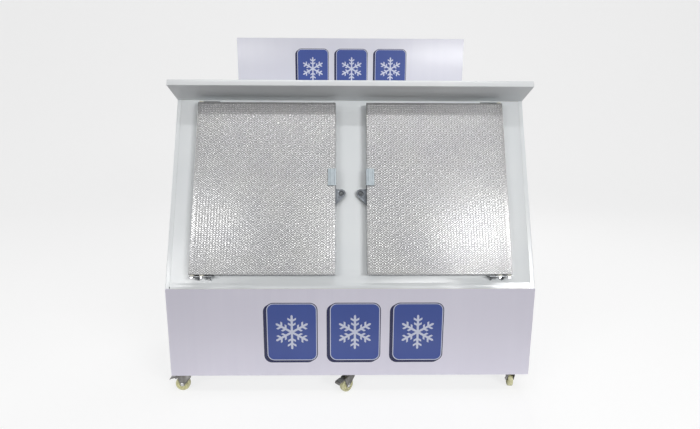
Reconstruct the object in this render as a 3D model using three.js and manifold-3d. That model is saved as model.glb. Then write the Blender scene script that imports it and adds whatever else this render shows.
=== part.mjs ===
// A slant-front ice merchandiser freezer on six casters: two hinged doors on a sloping face, a base
// panel below, a visor above and a sign on the roof. Millimetres, +Z up, front towards -Y.
// The origin is on the floor, under the middle of the width and of the depth.
import * as THREE from 'three';
import { mergeVertices } from 'three/addons/utils/BufferGeometryUtils.js';
import Module from 'manifold-3d';

const wasm = await Module();
wasm.setup();

// ---- Driving dimensions -------------------------------------------------------------------------

// cabinet
const WIDTH = 1850; // over the side panels
const DEPTH = 965; // base front to back panel
const BASE_TOP = 577; // height where the sloping face starts
const SLOPE_TOP = 1499; // height where the sloping face ends
const SLOPE_RUN = 390; // how far the face leans back
const ROOF_TOP = 1521;
const VISOR_REACH = 180; // out from the sloping face, square to it
const LIP_HEIGHT = 31; // front edge of the visor
const SHEET = 1.5; // steel casing
const FIT = 0.3; // assembly clearance between neighbours
const FLANGE = 22; // the side panels' folded edges

// insulated box
const WALL = 52; // casing face to cabin
const FLOOR_WALL = 63.5; // bottom pan to the cabin's floor
const LINER = 2;
const MACHINE_FRONT = 640; // machine compartment, at the back of the base
const MACHINE_HEIGHT = 277; // above the underframe

// underframe
const RAIL_HEIGHT = 38;
const RAIL_WIDTH = 90; // front and rear rails
const SIDE_RAIL_WIDTH = 60;
const RAIL_WALL = 3;

// doors, on the sloping face
const DOOR_WIDTH = 720;
const DOOR_HEIGHT = 901;
const DOOR_GAP = 160; // stile seen between the doors
const DOOR_BOTTOM = 67; // up the slope from the base
const DOOR_DEPTH = 42;
const DOOR_SKIN = 1.5;
const DOOR_LINER = 1.5;
const DISH_INSET = 60; // raised middle of the door liner
const DISH_DEPTH = 7;
const GASKET_DEPTH = 10; // door back to sloping face
const GASKET_WIDTH = 14;
const GASKET_INSET = 16; // from the door's edge
const OPENING_INSET = 34; // from the door's edge to the cabin opening

// door pivots
const PIVOT_INSET = 15; // from the door's outer edge
const PIVOT_STANDOFF = 38; // out from the sloping face
const PIVOT_RADIUS = 5;
const PIVOT_CLEARANCE = 0.4;
const PIVOT_ENGAGEMENT = 14; // pin inside the door
const PIVOT_GAP = 6; // bracket to door edge
const BRACKET_INSET = 5; // from the door's outer edge
const BRACKET_WIDTH = 110;
const BRACKET_THICK = 4;
const BRACKET_REACH = 48;
const BRACKET_FLANGE = 24;
const PIN_HEAD = 3; // pin seen past the bracket

// padlock hasps
const HASP_SHEET = 3;
const HASP_PAD_WIDTH = 42;
const HASP_PAD_TOP = 606;
const HASP_PAD_BOTTOM = 518;
const HASP_EAR_TOP = 507;
const HASP_EAR_BOTTOM = 422;
const HASP_HOLE_HEIGHT = 485;
const HASP_HOLE_REACH = 30; // from the door's edge
const HASP_HOLE_RADIUS = 11;
const HASP_TIP_RADIUS = 22;
const HASP_EAR_STANDOFF = 17; // from the sloping face

// sign
const SIGN_WIDTH = 1219;
const SIGN_HEIGHT = 305;
const SIGN_DEPTH = 20;
const SIGN_FRONT = 455; // behind the base front
const SIGN_SHEET = 2;
const SIGN_BRACKET_SPAN = 760;
const SIGN_BRACKET_WIDTH = 40;
const SIGN_BRACKET_FOOT = 70;

// casters
const CASTER_HEIGHT = 105; // floor to the underframe
const CASTER_INSET = 72; // swivel axis in from the cabinet's side
const CASTER_TRAIL = 30;
const WHEEL_RADIUS = 37.5;
const WHEEL_WIDTH = 26;
const HUB_RADIUS = 11;
const AXLE_RADIUS = 5;
const PLATE_LENGTH = 90;
const PLATE_WIDTH = 65;
const PLATE_THICK = 2.5;
const RACE_RADIUS = 24;
const RACE_HEIGHT = 10.5;
const KINGPIN_RADIUS = 6;
const FORK_SHEET = 3;
const FORK_CROWN = 4;
const PEDAL_REACH = 95; // swivel axis to the pedal's tip
const PEDAL_PIVOT = [48, 78]; // along the trail, height
const PEDAL_PIN_RADIUS = 3;

// refrigeration
const PLATE_SPAN = 1560; // cold plate
const PLATE_TALL = 720;
const PLATE_BASE = 640;
const COLD_TUBE_RADIUS = 5;
const COLD_RUNS = 6;
const COMPRESSOR_PLACE = [-430, 800]; // its middle, across and back from the base front
const COMPRESSOR_RADIUS = 82;
const COMPRESSOR_HEIGHT = 178;
const FOOT_HEIGHT = 15; // its rubber feet
const CONDENSER_WIDTH = 320;
const CONDENSER_HEIGHT = 240;
const CONDENSER_DEPTH = 56;
const CONDENSER_X = 300;
const CONDENSER_STAND = 18; // its underside above the pan
const CONDENSER_GAP = 16; // its back to the cabinet's back
const COLLAR_DEPTH = 42; // fan collar, forward of the shroud
const MOTOR_DEPTH = 42;
const MOTOR_RADIUS = 34;
const FAN_RADIUS = 104;
const FAN_BLADES = 5;
const FAN_SHAFT = 4;
const BOX_SPAN = [620, 810]; // control box
const BOX_DEPTH = 86;
const BOX_HEIGHT = 155;
const BOX_STAND = 70.5; // its underside above the pan
const BOX_GAP = 24; // its back to the cabinet's back
const DIAL_RADIUS = 17;
const DIAL_HEIGHT = 95; // above the box's underside
const GLAND_PLACE = [735, 32]; // across, and above the underframe
const GLAND_THREAD = 8;
const GLAND_FLANGE = 12;
const LEAD_RADIUS = 4.5;

const RUNNING = 0.4; // radial clearance of turning parts
const THROUGH = 5; // how far a cutter runs past the face it cuts
const ROUND = 20; // sides of a small round piece

// ---- Values worked out from them ----------------------------------------------------------------

const slopeRise = SLOPE_TOP - BASE_TOP;
const slopeAngle = Math.atan2(SLOPE_RUN, slopeRise);
const slopeLength = Math.hypot(SLOPE_RUN, slopeRise);
const sinSlope = Math.sin(slopeAngle);
const cosSlope = Math.cos(slopeAngle);
const tanSlope = Math.tan(slopeAngle);
const halfWidth = WIDTH / 2;
const insideHalf = halfWidth - SHEET - FIT;
const insideFront = SHEET + FIT;
const insideBack = DEPTH - SHEET - FIT;
const frameHalf = halfWidth - FLANGE - FIT;
const railTop = CASTER_HEIGHT + RAIL_HEIGHT;
const panTop = railTop + SHEET;
const cabinFloor = panTop + FLOOR_WALL;
const machineTop = railTop + MACHINE_HEIGHT;
const doorInner = DOOR_GAP / 2;
const doorOuter = doorInner + DOOR_WIDTH;
const doorTop = DOOR_BOTTOM + DOOR_HEIGHT;
const doorFront = GASKET_DEPTH + DOOR_DEPTH; // out from the sloping face
const casterRow = insideFront + RAIL_WIDTH / 2;
const rearCasterRow = insideBack - RAIL_WIDTH / 2;
const forkInside = WHEEL_WIDTH / 2 + 1.6;
const forkOutside = forkInside + FORK_SHEET;
const crownTop = CASTER_HEIGHT - PLATE_THICK - RACE_HEIGHT - FIT;
const crownBottom = crownTop - FORK_CROWN;

// the furthest point forward is the bottom front edge of the doors
const frontReach = DOOR_BOTTOM * sinSlope - doorFront * cosSlope;
const depthMiddle = (frontReach + DEPTH) / 2;

// A point of the side view, s up the sloping face and out square to it.
function facePoint(s, out) {
  return [s * sinSlope - out * cosSlope, BASE_TOP + s * cosSlope + out * sinSlope];
}

// Depth of the line that runs parallel to the sloping face, inset behind it, at height z.
function slopeDepth(z, inset) {
  return (z - BASE_TOP) * tanSlope + inset / cosSlope;
}

// Height of that line at depth y.
function slopeHeight(y, inset) {
  return BASE_TOP + (y - inset / cosSlope) / tanSlope;
}

// ---- Materials ----------------------------------------------------------------------------------

function finish(color, roughness, metalness) {
  return new THREE.MeshStandardMaterial({ color, roughness, metalness });
}

const whitePaint = finish(0xe3e6e8, 0.42, 0.1);
const basePaint = finish(0xc2bfca, 0.32, 0.1);
const signWhite = finish(0xdfdfe6, 0.4, 0.0);
const galvanised = finish(0x9da1a5, 0.45, 0.85);
const stuccoAluminium = finish(0xc4c4c4, 0.38, 0.9);
const linerWhite = finish(0xe9ecec, 0.5, 0.0);
const foamYellow = finish(0xd8c690, 0.95, 0.0);
const gasketGrey = finish(0x6d7075, 0.7, 0.0);
const zincPlate = finish(0xaeb2b6, 0.35, 0.9);
const nylonCream = finish(0xcfceab, 0.5, 0.0);
const blackEnamel = finish(0x1c1d1f, 0.4, 0.3);
const coilAluminium = finish(0xb4b7ba, 0.4, 0.85);
const fanPlastic = finish(0x2a2b2d, 0.55, 0.0);
const glandPlastic = finish(0x222326, 0.5, 0.0);

// ---- Solid geometry -----------------------------------------------------------------------------

// A closed three.js geometry as a solid that can be cut and joined.
function solid(geometry) {
  const bare = geometry.clone();
  bare.deleteAttribute('normal');
  bare.deleteAttribute('uv');
  const merged = mergeVertices(bare, 1e-4);
  return new wasm.Manifold(new wasm.Mesh({
    numProp: 3,
    vertProperties: new Float32Array(merged.attributes.position.array),
    triVerts: new Uint32Array(merged.index.array),
  }));
}

function geometryOf(body) {
  const { vertProperties, triVerts } = body.getMesh();
  const geometry = new THREE.BufferGeometry();
  geometry.setAttribute('position', new THREE.BufferAttribute(new Float32Array(vertProperties), 3));
  geometry.setIndex(new THREE.BufferAttribute(new Uint32Array(triVerts), 1));
  geometry.computeVertexNormals();
  return geometry;
}

function named(name, body, material) {
  const mesh = new THREE.Mesh(geometryOf(body), material);
  mesh.name = name;
  return mesh;
}

function join(first, ...others) {
  return others.reduce((sum, other) => sum.add(other), first);
}

function cut(body, ...tools) {
  return tools.reduce((rest, tool) => rest.subtract(tool), body);
}

function block([x0, x1], [y0, y1], [z0, z1]) {
  const geometry = new THREE.BoxGeometry(x1 - x0, y1 - y0, z1 - z0);
  geometry.translate((x0 + x1) / 2, (y0 + y1) / 2, (z0 + z1) / 2);
  return solid(geometry);
}

// A prism: an outline in one plane, run from one distance to another along the axis square to it.
function prism(axis, outline, from, to, holes = []) {
  const shape = new THREE.Shape(outline.map(([u, v]) => new THREE.Vector2(u, v)));
  shape.holes = holes;
  return extruded(axis, shape, from, to);
}

function extruded(axis, shape, from, to) {
  const geometry = new THREE.ExtrudeGeometry(shape, {
    depth: to - from,
    bevelEnabled: false,
    curveSegments: 8,
  });
  geometry.translate(0, 0, from);
  if (axis === 'x') geometry.applyMatrix4(sideView);
  if (axis === 'y') geometry.applyMatrix4(frontView);
  return solid(geometry);
}

// outlines along X are drawn in (y, z); outlines along Y are drawn in (x, z) and run towards -Y
const sideView = new THREE.Matrix4().makeBasis(
  new THREE.Vector3(0, 1, 0), new THREE.Vector3(0, 0, 1), new THREE.Vector3(1, 0, 0));
const frontView = new THREE.Matrix4().makeBasis(
  new THREE.Vector3(1, 0, 0), new THREE.Vector3(0, 0, 1), new THREE.Vector3(0, -1, 0));

// A round bar along an axis, centred on the two other coordinates.
function bar(axis, radius, [from, to], [u, v], sides = ROUND) {
  const geometry = new THREE.CylinderGeometry(radius, radius, to - from, sides);
  const middle = (from + to) / 2;
  if (axis === 'x') geometry.rotateZ(Math.PI / 2).translate(middle, u, v);
  if (axis === 'y') geometry.translate(u, middle, v);
  if (axis === 'z') geometry.rotateX(Math.PI / 2).translate(u, v, middle);
  return solid(geometry);
}

// A body of revolution; the profile is (radius, height) pairs, counter-clockwise.
function turned(profile, axis, [x, y, z], sides = ROUND) {
  const points = profile.map(([r, h]) => new THREE.Vector2(r, h));
  const geometry = new THREE.LatheGeometry(points, sides);
  if (axis === 'z') geometry.rotateX(Math.PI / 2);
  geometry.translate(x, y, z);
  return solid(geometry);
}

// ---- Casing -------------------------------------------------------------------------------------

// Side view of the cabinet below the roof, drawn in by an inset; over widens its open ends.
function sideOutline(inset, over) {
  const bottom = CASTER_HEIGHT - over;
  const top = SLOPE_TOP + over;
  return [
    [inset, bottom],
    [DEPTH - inset, bottom],
    [DEPTH - inset, top],
    [slopeDepth(top, inset), top],
    [inset, slopeHeight(inset, inset)],
  ];
}

function sidePanel(name, side) {
  const outer = halfWidth - FLANGE;
  const range = (a, b) => (side > 0 ? [a, b] : [-b, -a]);
  const plate = prism('x', sideOutline(0, 0), ...range(outer, halfWidth));
  const hollow = prism('x', sideOutline(SHEET, THROUGH), ...range(outer - THROUGH, halfWidth - SHEET));
  return named(name, cut(plate, hollow), whitePaint);
}

function basePanel() {
  const body = block([-halfWidth, halfWidth], [-FIT - SHEET, -FIT], [CASTER_HEIGHT, BASE_TOP]);
  return named('base_front_panel', body, basePaint);
}

function backPanel() {
  const body = block([-frameHalf, frameHalf], [DEPTH - SHEET, DEPTH], [machineTop, SLOPE_TOP]);
  return named('back_panel', body, whitePaint);
}

// Louvre slots in rows; the cable gland has its own round hole.
function rearGrille() {
  const slotLength = 150;
  const slotHeight = 9;
  const columns = 8;
  const rows = 5;
  const pitchX = 208;
  const pitchZ = 30;
  const sheet = [DEPTH - SHEET, DEPTH];
  const through = [DEPTH - SHEET - THROUGH, DEPTH + THROUGH];
  let body = block([-frameHalf, frameHalf], sheet, [CASTER_HEIGHT, machineTop - FIT]);
  for (let column = 0; column < columns; column += 1) {
    for (let row = 0; row < rows; row += 1) {
      const x = (column - (columns - 1) / 2) * pitchX;
      const z = machineTop - pitchZ * (row + 1);
      body = cut(body, block([x - slotLength / 2, x + slotLength / 2], through,
        [z - slotHeight / 2, z + slotHeight / 2]));
    }
  }
  const hole = bar('y', GLAND_THREAD + FIT, through, glandPlace);
  return named('rear_grille', cut(body, hole), galvanised);
}

// Roof, visor and their folded edges, pressed from one sheet and open underneath.
function roofHood() {
  const over = (inset) => {
    const lipS = slopeLength + LIP_HEIGHT - inset;
    const out = (ROOF_TOP - inset - BASE_TOP - lipS * cosSlope) / sinSlope;
    return [
      facePoint(slopeLength + inset, VISOR_REACH - inset),
      facePoint(lipS, VISOR_REACH - inset),
      facePoint(lipS, out),
      [DEPTH - inset, ROOF_TOP - inset],
    ].reverse();
  };
  const outline = [...over(0), facePoint(slopeLength, 0), [DEPTH, SLOPE_TOP]];
  const below = SLOPE_TOP - THROUGH;
  const hollow = [
    ...over(SHEET),
    facePoint(slopeLength + SHEET, 0),
    facePoint(slopeLength - THROUGH, 0),
    [DEPTH - SHEET, below],
  ];
  const body = cut(
    prism('x', outline, -halfWidth, halfWidth),
    prism('x', hollow, SHEET - halfWidth, halfWidth - SHEET));
  return named('roof_hood', body, whitePaint);
}

// ---- Underframe ---------------------------------------------------------------------------------

function channel(name, xs, ys, along) {
  const outer = block(xs, ys, [CASTER_HEIGHT, railTop]);
  const narrowed = ([a, b]) => [a + RAIL_WALL, b - RAIL_WALL];
  const widened = ([a, b]) => [a - THROUGH, b + THROUGH];
  const troughX = along === 'x' ? widened(xs) : narrowed(xs);
  const troughY = along === 'x' ? narrowed(ys) : widened(ys);
  const trough = block(troughX, troughY, [CASTER_HEIGHT + RAIL_WALL, railTop + THROUGH]);
  return named(name, cut(outer, trough), galvanised);
}

function underframe() {
  const group = new THREE.Group();
  const across = [-insideHalf, insideHalf];
  const frontEnd = insideFront + RAIL_WIDTH;
  const rearEnd = insideBack - RAIL_WIDTH;
  const between = [frontEnd + FIT, rearEnd - FIT];
  group.add(channel('front_rail', across, [insideFront, frontEnd], 'x'));
  group.add(channel('rear_rail', across, [rearEnd, insideBack], 'x'));
  group.add(channel('left_rail', [-insideHalf, SIDE_RAIL_WIDTH - insideHalf], between, 'y'));
  group.add(channel('right_rail', [insideHalf - SIDE_RAIL_WIDTH, insideHalf], between, 'y'));
  group.add(bottomPan());
  return group;
}

// The pan closes the foam and carries the machinery; slots let air in under the condenser.
function bottomPan() {
  const slots = 8;
  const pitch = 36;
  const slotHalf = 5;
  const slotRun = [MACHINE_FRONT + 40, MACHINE_FRONT + 140];
  let body = block([-insideHalf, insideHalf], [insideFront, insideBack], [railTop, panTop]);
  for (let slot = 0; slot < slots; slot += 1) {
    const x = CONDENSER_X + (slot - (slots - 1) / 2) * pitch;
    body = cut(body, block([x - slotHalf, x + slotHalf], slotRun, [railTop - THROUGH, panTop + THROUGH]));
  }
  return named('bottom_pan', body, galvanised);
}

// ---- Insulated box ------------------------------------------------------------------------------

// Side view of the cabin, grown outwards all round by a thickness.
function cabinOutline(grow) {
  const top = ROOF_TOP - WALL - LINER - SHEET + grow;
  const front = WALL - grow;
  const back = DEPTH - WALL - LINER + grow;
  return [
    [front, cabinFloor - grow],
    [MACHINE_FRONT - WALL + grow, cabinFloor - grow],
    [MACHINE_FRONT - WALL + grow, machineTop + WALL - grow],
    [back, machineTop + WALL - grow],
    [back, top],
    [slopeDepth(top, front), top],
    [front, slopeHeight(front, front)],
  ];
}

// The passage through the sloping wall behind one door, in side view.
function throatOutline(shrink, from) {
  const low = DOOR_BOTTOM + OPENING_INSET + shrink;
  const high = doorTop - OPENING_INSET - shrink;
  const deep = -WALL - THROUGH;
  return [facePoint(low, from), facePoint(low, deep), facePoint(high, deep), facePoint(high, from)];
}

function throats(shrink, from) {
  const near = doorInner + OPENING_INSET + shrink;
  const far = doorOuter - OPENING_INSET - shrink;
  const outline = throatOutline(shrink, from);
  return [prism('x', outline, -far, -near), prism('x', outline, near, far)];
}

function insulation() {
  const top = ROOF_TOP - SHEET - FIT;
  const outline = [
    [insideFront, panTop],
    [MACHINE_FRONT, panTop],
    [MACHINE_FRONT, machineTop],
    [insideBack, machineTop],
    [insideBack, top],
    [slopeDepth(top, insideFront), top],
    [insideFront, slopeHeight(insideFront, insideFront)],
  ];
  const cabinHalf = halfWidth - WALL + LINER + FIT;
  const body = cut(
    prism('x', outline, -insideHalf, insideHalf),
    prism('x', cabinOutline(LINER + FIT), -cabinHalf, cabinHalf),
    ...throats(0, THROUGH));
  return named('insulation', body, foamYellow);
}

function innerLiner() {
  const cabinHalf = halfWidth - WALL;
  const outside = join(
    prism('x', cabinOutline(LINER), -cabinHalf - LINER, cabinHalf + LINER),
    ...throats(FIT, -FIT));
  const body = cut(
    outside,
    prism('x', cabinOutline(0), -cabinHalf, cabinHalf),
    ...throats(FIT + LINER, THROUGH));
  return named('inner_liner', body, linerWhite);
}

// ---- Pieces on the sloping face (x across, -y out of the face, z up the slope) -------------------

function doorSpan(side) {
  return side > 0 ? [doorInner, doorOuter] : [-doorOuter, -doorInner];
}

function inward([low, high], inset) {
  return [low + inset, high - inset];
}

function frontFrame() {
  const heights = inward([DOOR_BOTTOM, doorTop], OPENING_INSET);
  const openings = [-1, 1].map((side) =>
    block(inward(doorSpan(side), OPENING_INSET), [-THROUGH, SHEET + THROUGH], heights));
  const plate = block([-frameHalf, frameHalf], [0, SHEET], [FIT, slopeLength - FIT]);
  return named('front_frame', cut(plate, ...openings), whitePaint);
}

function pivotX(side) {
  return side * (doorOuter - PIVOT_INSET);
}

// The sockets for both pivot pins of a door, for a wall of the given radius.
function pivotSockets(side, radius) {
  const place = [pivotX(side), -PIVOT_STANDOFF];
  const reach = PIVOT_ENGAGEMENT + 2;
  return [
    bar('z', radius, [DOOR_BOTTOM - THROUGH, DOOR_BOTTOM + reach], place),
    bar('z', radius, [doorTop - reach, doorTop + THROUGH], place),
  ];
}

function doorSkin(name, side) {
  const heights = [DOOR_BOTTOM, doorTop];
  const outer = block(doorSpan(side), [-doorFront, -GASKET_DEPTH], heights);
  const hollow = block(
    inward(doorSpan(side), DOOR_SKIN), [DOOR_SKIN - doorFront, THROUGH - GASKET_DEPTH],
    inward(heights, DOOR_SKIN));
  const sockets = pivotSockets(side, PIVOT_RADIUS + PIVOT_CLEARANCE);
  return named(name, cut(outer, hollow, ...sockets), stuccoAluminium);
}

function doorFoam(name, side) {
  const inset = DOOR_SKIN + FIT;
  const body = block(
    inward(doorSpan(side), inset),
    [inset - doorFront, -GASKET_DEPTH - DOOR_LINER - FIT],
    inward([DOOR_BOTTOM, doorTop], inset));
  const dish = dishOf(side, DOOR_LINER + FIT);
  const sockets = pivotSockets(side, PIVOT_RADIUS + PIVOT_CLEARANCE + 1);
  return named(name, cut(join(body, dish), ...sockets), foamYellow);
}

// The raised middle of the door's inner side, drawn in by an inset.
function dishOf(side, inset) {
  return block(
    inward(doorSpan(side), DISH_INSET + inset),
    [-GASKET_DEPTH - DOOR_LINER - THROUGH, -GASKET_DEPTH + DISH_DEPTH - inset],
    inward([DOOR_BOTTOM, doorTop], DISH_INSET + inset));
}

function doorLiner(name, side) {
  const inset = DOOR_SKIN + FIT;
  const sheet = block(
    inward(doorSpan(side), inset),
    [-GASKET_DEPTH - DOOR_LINER, -GASKET_DEPTH],
    inward([DOOR_BOTTOM, doorTop], inset));
  const front = [-doorFront, -GASKET_DEPTH - DOOR_LINER];
  const trim = block(doorSpan(side), front, [DOOR_BOTTOM, doorTop]);
  const body = cut(join(sheet, cut(dishOf(side, 0), trim)), dishOf(side, DOOR_LINER));
  return named(name, body, linerWhite);
}

function doorGasket(name, side) {
  const depth = [FIT - GASKET_DEPTH, -FIT];
  const heights = [DOOR_BOTTOM, doorTop];
  const outer = block(inward(doorSpan(side), GASKET_INSET), depth, inward(heights, GASKET_INSET));
  const inset = GASKET_INSET + GASKET_WIDTH;
  const hole = block(
    inward(doorSpan(side), inset), [-GASKET_DEPTH - THROUGH, THROUGH], inward(heights, inset));
  return named(name, cut(outer, hole), gasketGrey);
}

// One bent plate: a pad on the door's front, a strip down its edge and an ear with a padlock hole.
function doorHasp(name, side) {
  const edge = doorInner - FIT; // the strip lies against the door's inner edge
  const strip = [edge - HASP_SHEET, edge];
  const front = doorFront + FIT;
  const padSpan = [edge - HASP_SHEET, edge - HASP_SHEET + HASP_PAD_WIDTH];
  const padHeights = [HASP_PAD_BOTTOM, HASP_PAD_TOP];
  const depth = [-front - HASP_SHEET, -HASP_EAR_STANDOFF];
  const pad = block(padSpan, [-front - HASP_SHEET, -front], padHeights);
  const stripUpper = block(strip, depth, padHeights);
  const stripLower = block(
    strip, [-HASP_EAR_STANDOFF - HASP_PAD_WIDTH / 2, -HASP_EAR_STANDOFF],
    [HASP_EAR_BOTTOM, HASP_PAD_BOTTOM + 1]);
  const earDepth = [HASP_EAR_STANDOFF, HASP_EAR_STANDOFF + HASP_SHEET];
  const ear = extruded('y', earShape(edge), ...earDepth);
  const body = join(pad, stripUpper, stripLower, ear);
  return named(name, side > 0 ? body : body.mirror([1, 0, 0]), zincPlate);
}

// The ear: straight along the top, round at the tip and slanting back to the door's edge below.
function earShape(edge) {
  const holeX = doorInner - HASP_HOLE_REACH;
  const run = edge - holeX;
  const drop = HASP_HOLE_HEIGHT - HASP_EAR_BOTTOM;
  const slant = Math.atan2(drop, run) - Math.asin(HASP_TIP_RADIUS / Math.hypot(run, drop));
  const shape = new THREE.Shape();
  shape.moveTo(edge, HASP_EAR_BOTTOM);
  shape.lineTo(edge, HASP_EAR_TOP);
  shape.lineTo(holeX, HASP_EAR_TOP);
  shape.absarc(holeX, HASP_HOLE_HEIGHT, HASP_TIP_RADIUS, Math.PI / 2, Math.PI * 1.5 - slant, false);
  const hole = new THREE.Path();
  hole.absarc(holeX, HASP_HOLE_HEIGHT, HASP_HOLE_RADIUS, 0, Math.PI * 2, true);
  shape.holes.push(hole);
  return shape;
}

// Bracket, washer and pin; drawn for the bottom of a door and mirrored about its middle for the top.
function pivotBracket(name, side, top) {
  const leafTop = DOOR_BOTTOM - PIVOT_GAP;
  const leafBottom = leafTop - BRACKET_THICK;
  const outer = doorOuter - BRACKET_INSET;
  const span = [outer - BRACKET_WIDTH, outer];
  const leaf = block(span, [-BRACKET_REACH, -FIT], [leafBottom, leafTop]);
  const flange = block(span, [-FIT - BRACKET_THICK, -FIT], [leafBottom, leafBottom + BRACKET_FLANGE]);
  const place = [pivotX(1), -PIVOT_STANDOFF];
  const washer = bar('z', PIVOT_RADIUS * 1.8, [leafTop - 1, DOOR_BOTTOM - 2 * FIT], place);
  const pin = bar('z', PIVOT_RADIUS, [leafBottom - PIN_HEAD, DOOR_BOTTOM + PIVOT_ENGAGEMENT], place);
  let body = join(leaf, flange, washer, pin);
  if (top) {
    body = body.mirror([0, 0, 1]).translate([0, 0, DOOR_BOTTOM + doorTop]);
  }
  return named(name, side > 0 ? body : body.mirror([1, 0, 0]), zincPlate);
}

function slopingFace() {
  const group = new THREE.Group();
  group.position.z = BASE_TOP;
  group.rotation.x = -slopeAngle;
  group.add(frontFrame());
  for (const [word, side] of [['left', -1], ['right', 1]]) {
    group.add(doorSkin(`${word}_door_skin`, side));
    group.add(doorFoam(`${word}_door_foam`, side));
    group.add(doorLiner(`${word}_door_liner`, side));
    group.add(doorGasket(`${word}_door_gasket`, side));
    group.add(doorHasp(`${word}_door_hasp`, side));
    group.add(pivotBracket(`${word}_lower_pivot`, side, false));
    group.add(pivotBracket(`${word}_upper_pivot`, side, true));
  }
  return group;
}

// ---- Sign ---------------------------------------------------------------------------------------

function signPanel() {
  const half = SIGN_WIDTH / 2;
  const depth = [SIGN_FRONT, SIGN_FRONT + SIGN_DEPTH];
  const heights = [ROOF_TOP, ROOF_TOP + SIGN_HEIGHT];
  const hollow = block(
    [SIGN_SHEET - half, half - SIGN_SHEET], [SIGN_FRONT + SIGN_SHEET, depth[1] + THROUGH],
    inward(heights, SIGN_SHEET));
  return named('sign_panel', cut(block([-half, half], depth, heights), hollow), signWhite);
}

// An upright behind the sign, a foot on the roof and a gusset between them.
function signBracket(name, side) {
  const thick = 3;
  const x = side * SIGN_BRACKET_SPAN / 2;
  const span = [x - SIGN_BRACKET_WIDTH / 2, x + SIGN_BRACKET_WIDTH / 2];
  const front = SIGN_FRONT + SIGN_DEPTH + FIT;
  const top = ROOF_TOP + SIGN_HEIGHT - SIGN_SHEET;
  const outline = [
    [front, ROOF_TOP],
    [front + SIGN_BRACKET_FOOT, ROOF_TOP],
    [front + SIGN_BRACKET_FOOT, ROOF_TOP + thick],
    [front + thick, ROOF_TOP + thick],
    [front + thick, top],
    [front, top],
  ];
  const sunk = 1; // how far the rib runs into the bracket's sheet
  const rib = [
    [front + sunk, ROOF_TOP + sunk],
    [front + SIGN_BRACKET_FOOT - 6, ROOF_TOP + sunk],
    [front + sunk, ROOF_TOP + SIGN_BRACKET_FOOT * 2],
  ];
  const body = join(prism('x', outline, ...span), prism('x', rib, x - thick / 2, x + thick / 2));
  return named(name, body, galvanised);
}

// ---- Refrigeration ------------------------------------------------------------------------------

// A cold sheet on the cabin's back wall, with its tube runs behind it and four studs to the wall.
function evaporatorPlate() {
  const back = DEPTH - WALL - LINER;
  const sheetBack = back - 2 * COLD_TUBE_RADIUS - 2;
  const tubeInset = 60;
  const studInset = 25;
  const half = PLATE_SPAN / 2;
  const heights = [PLATE_BASE, PLATE_BASE + PLATE_TALL];
  const tubeY = sheetBack + COLD_TUBE_RADIUS - 1;
  const end = half - tubeInset;
  const pitch = (PLATE_TALL - 2 * tubeInset) / (COLD_RUNS - 1);
  let body = block([-half, half], [sheetBack - SHEET, sheetBack], heights);
  for (let run = 0; run < COLD_RUNS; run += 1) {
    const z = PLATE_BASE + tubeInset + run * pitch;
    body = join(body, bar('x', COLD_TUBE_RADIUS, [-end, end], [tubeY, z], 8));
    if (run > 0) {
      const turn = run % 2 ? end - 6 : 6 - end;
      body = join(body, bar('z', COLD_TUBE_RADIUS, [z - pitch, z], [turn, tubeY], 8));
    }
  }
  for (const x of inward([-half, half], studInset)) {
    for (const z of inward(heights, studInset)) {
      body = join(body, bar('y', 8, [sheetBack - 1, back - FIT], [x, z], 12));
    }
  }
  return named('evaporator_plate', body, coilAluminium);
}

// A hermetic compressor on four feet, with its relay box and two pipe stubs.
function compressor() {
  const [x, y] = COMPRESSOR_PLACE;
  const footTop = panTop + FOOT_HEIGHT;
  const top = footTop + COMPRESSOR_HEIGHT;
  const r = COMPRESSOR_RADIUS;
  const dome = turned([
    [0, footTop],
    [r * 0.8, footTop],
    [r, footTop + 22],
    [r, footTop + COMPRESSOR_HEIGHT * 0.45],
    [r + 4, footTop + COMPRESSOR_HEIGHT * 0.47],
    [r + 4, footTop + COMPRESSOR_HEIGHT * 0.5],
    [r, footTop + COMPRESSOR_HEIGHT * 0.52],
    [r * 0.97, top - 40],
    [r * 0.75, top - 12],
    [r * 0.35, top],
    [0, top],
  ], 'z', [x, y, 0], 24);
  const base = block([x - 105, x + 105], [y - 78, y + 78], [footTop - 3, footTop + 1]);
  const feet = [[-90, -64], [90, -64], [-90, 64], [90, 64]].map(([dx, dy]) =>
    bar('z', 13, [panTop, footTop - 1], [x + dx, y + dy], 12));
  const relay = block([x + r - 8, x + r + 34], [y - 30, y + 30], [footTop + 60, footTop + 130]);
  const stubs = [-26, 26].map((dy) =>
    bar('x', 5, [x - r - 30, x - r + 12], [y + dy, footTop + 70], 8));
  return named('compressor', join(dome, base, ...feet, relay, ...stubs), blackEnamel);
}

function condenserSpan() {
  return [CONDENSER_X - CONDENSER_WIDTH / 2, CONDENSER_X + CONDENSER_WIDTH / 2];
}

const condenserBase = panTop + CONDENSER_STAND;
const condenserBack = DEPTH - CONDENSER_GAP;
const condenserFront = condenserBack - CONDENSER_DEPTH;
const shroudBack = condenserFront - FIT;
const fanHeight = condenserBase + CONDENSER_HEIGHT / 2;
const ringFront = shroudBack - COLLAR_DEPTH;

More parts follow.
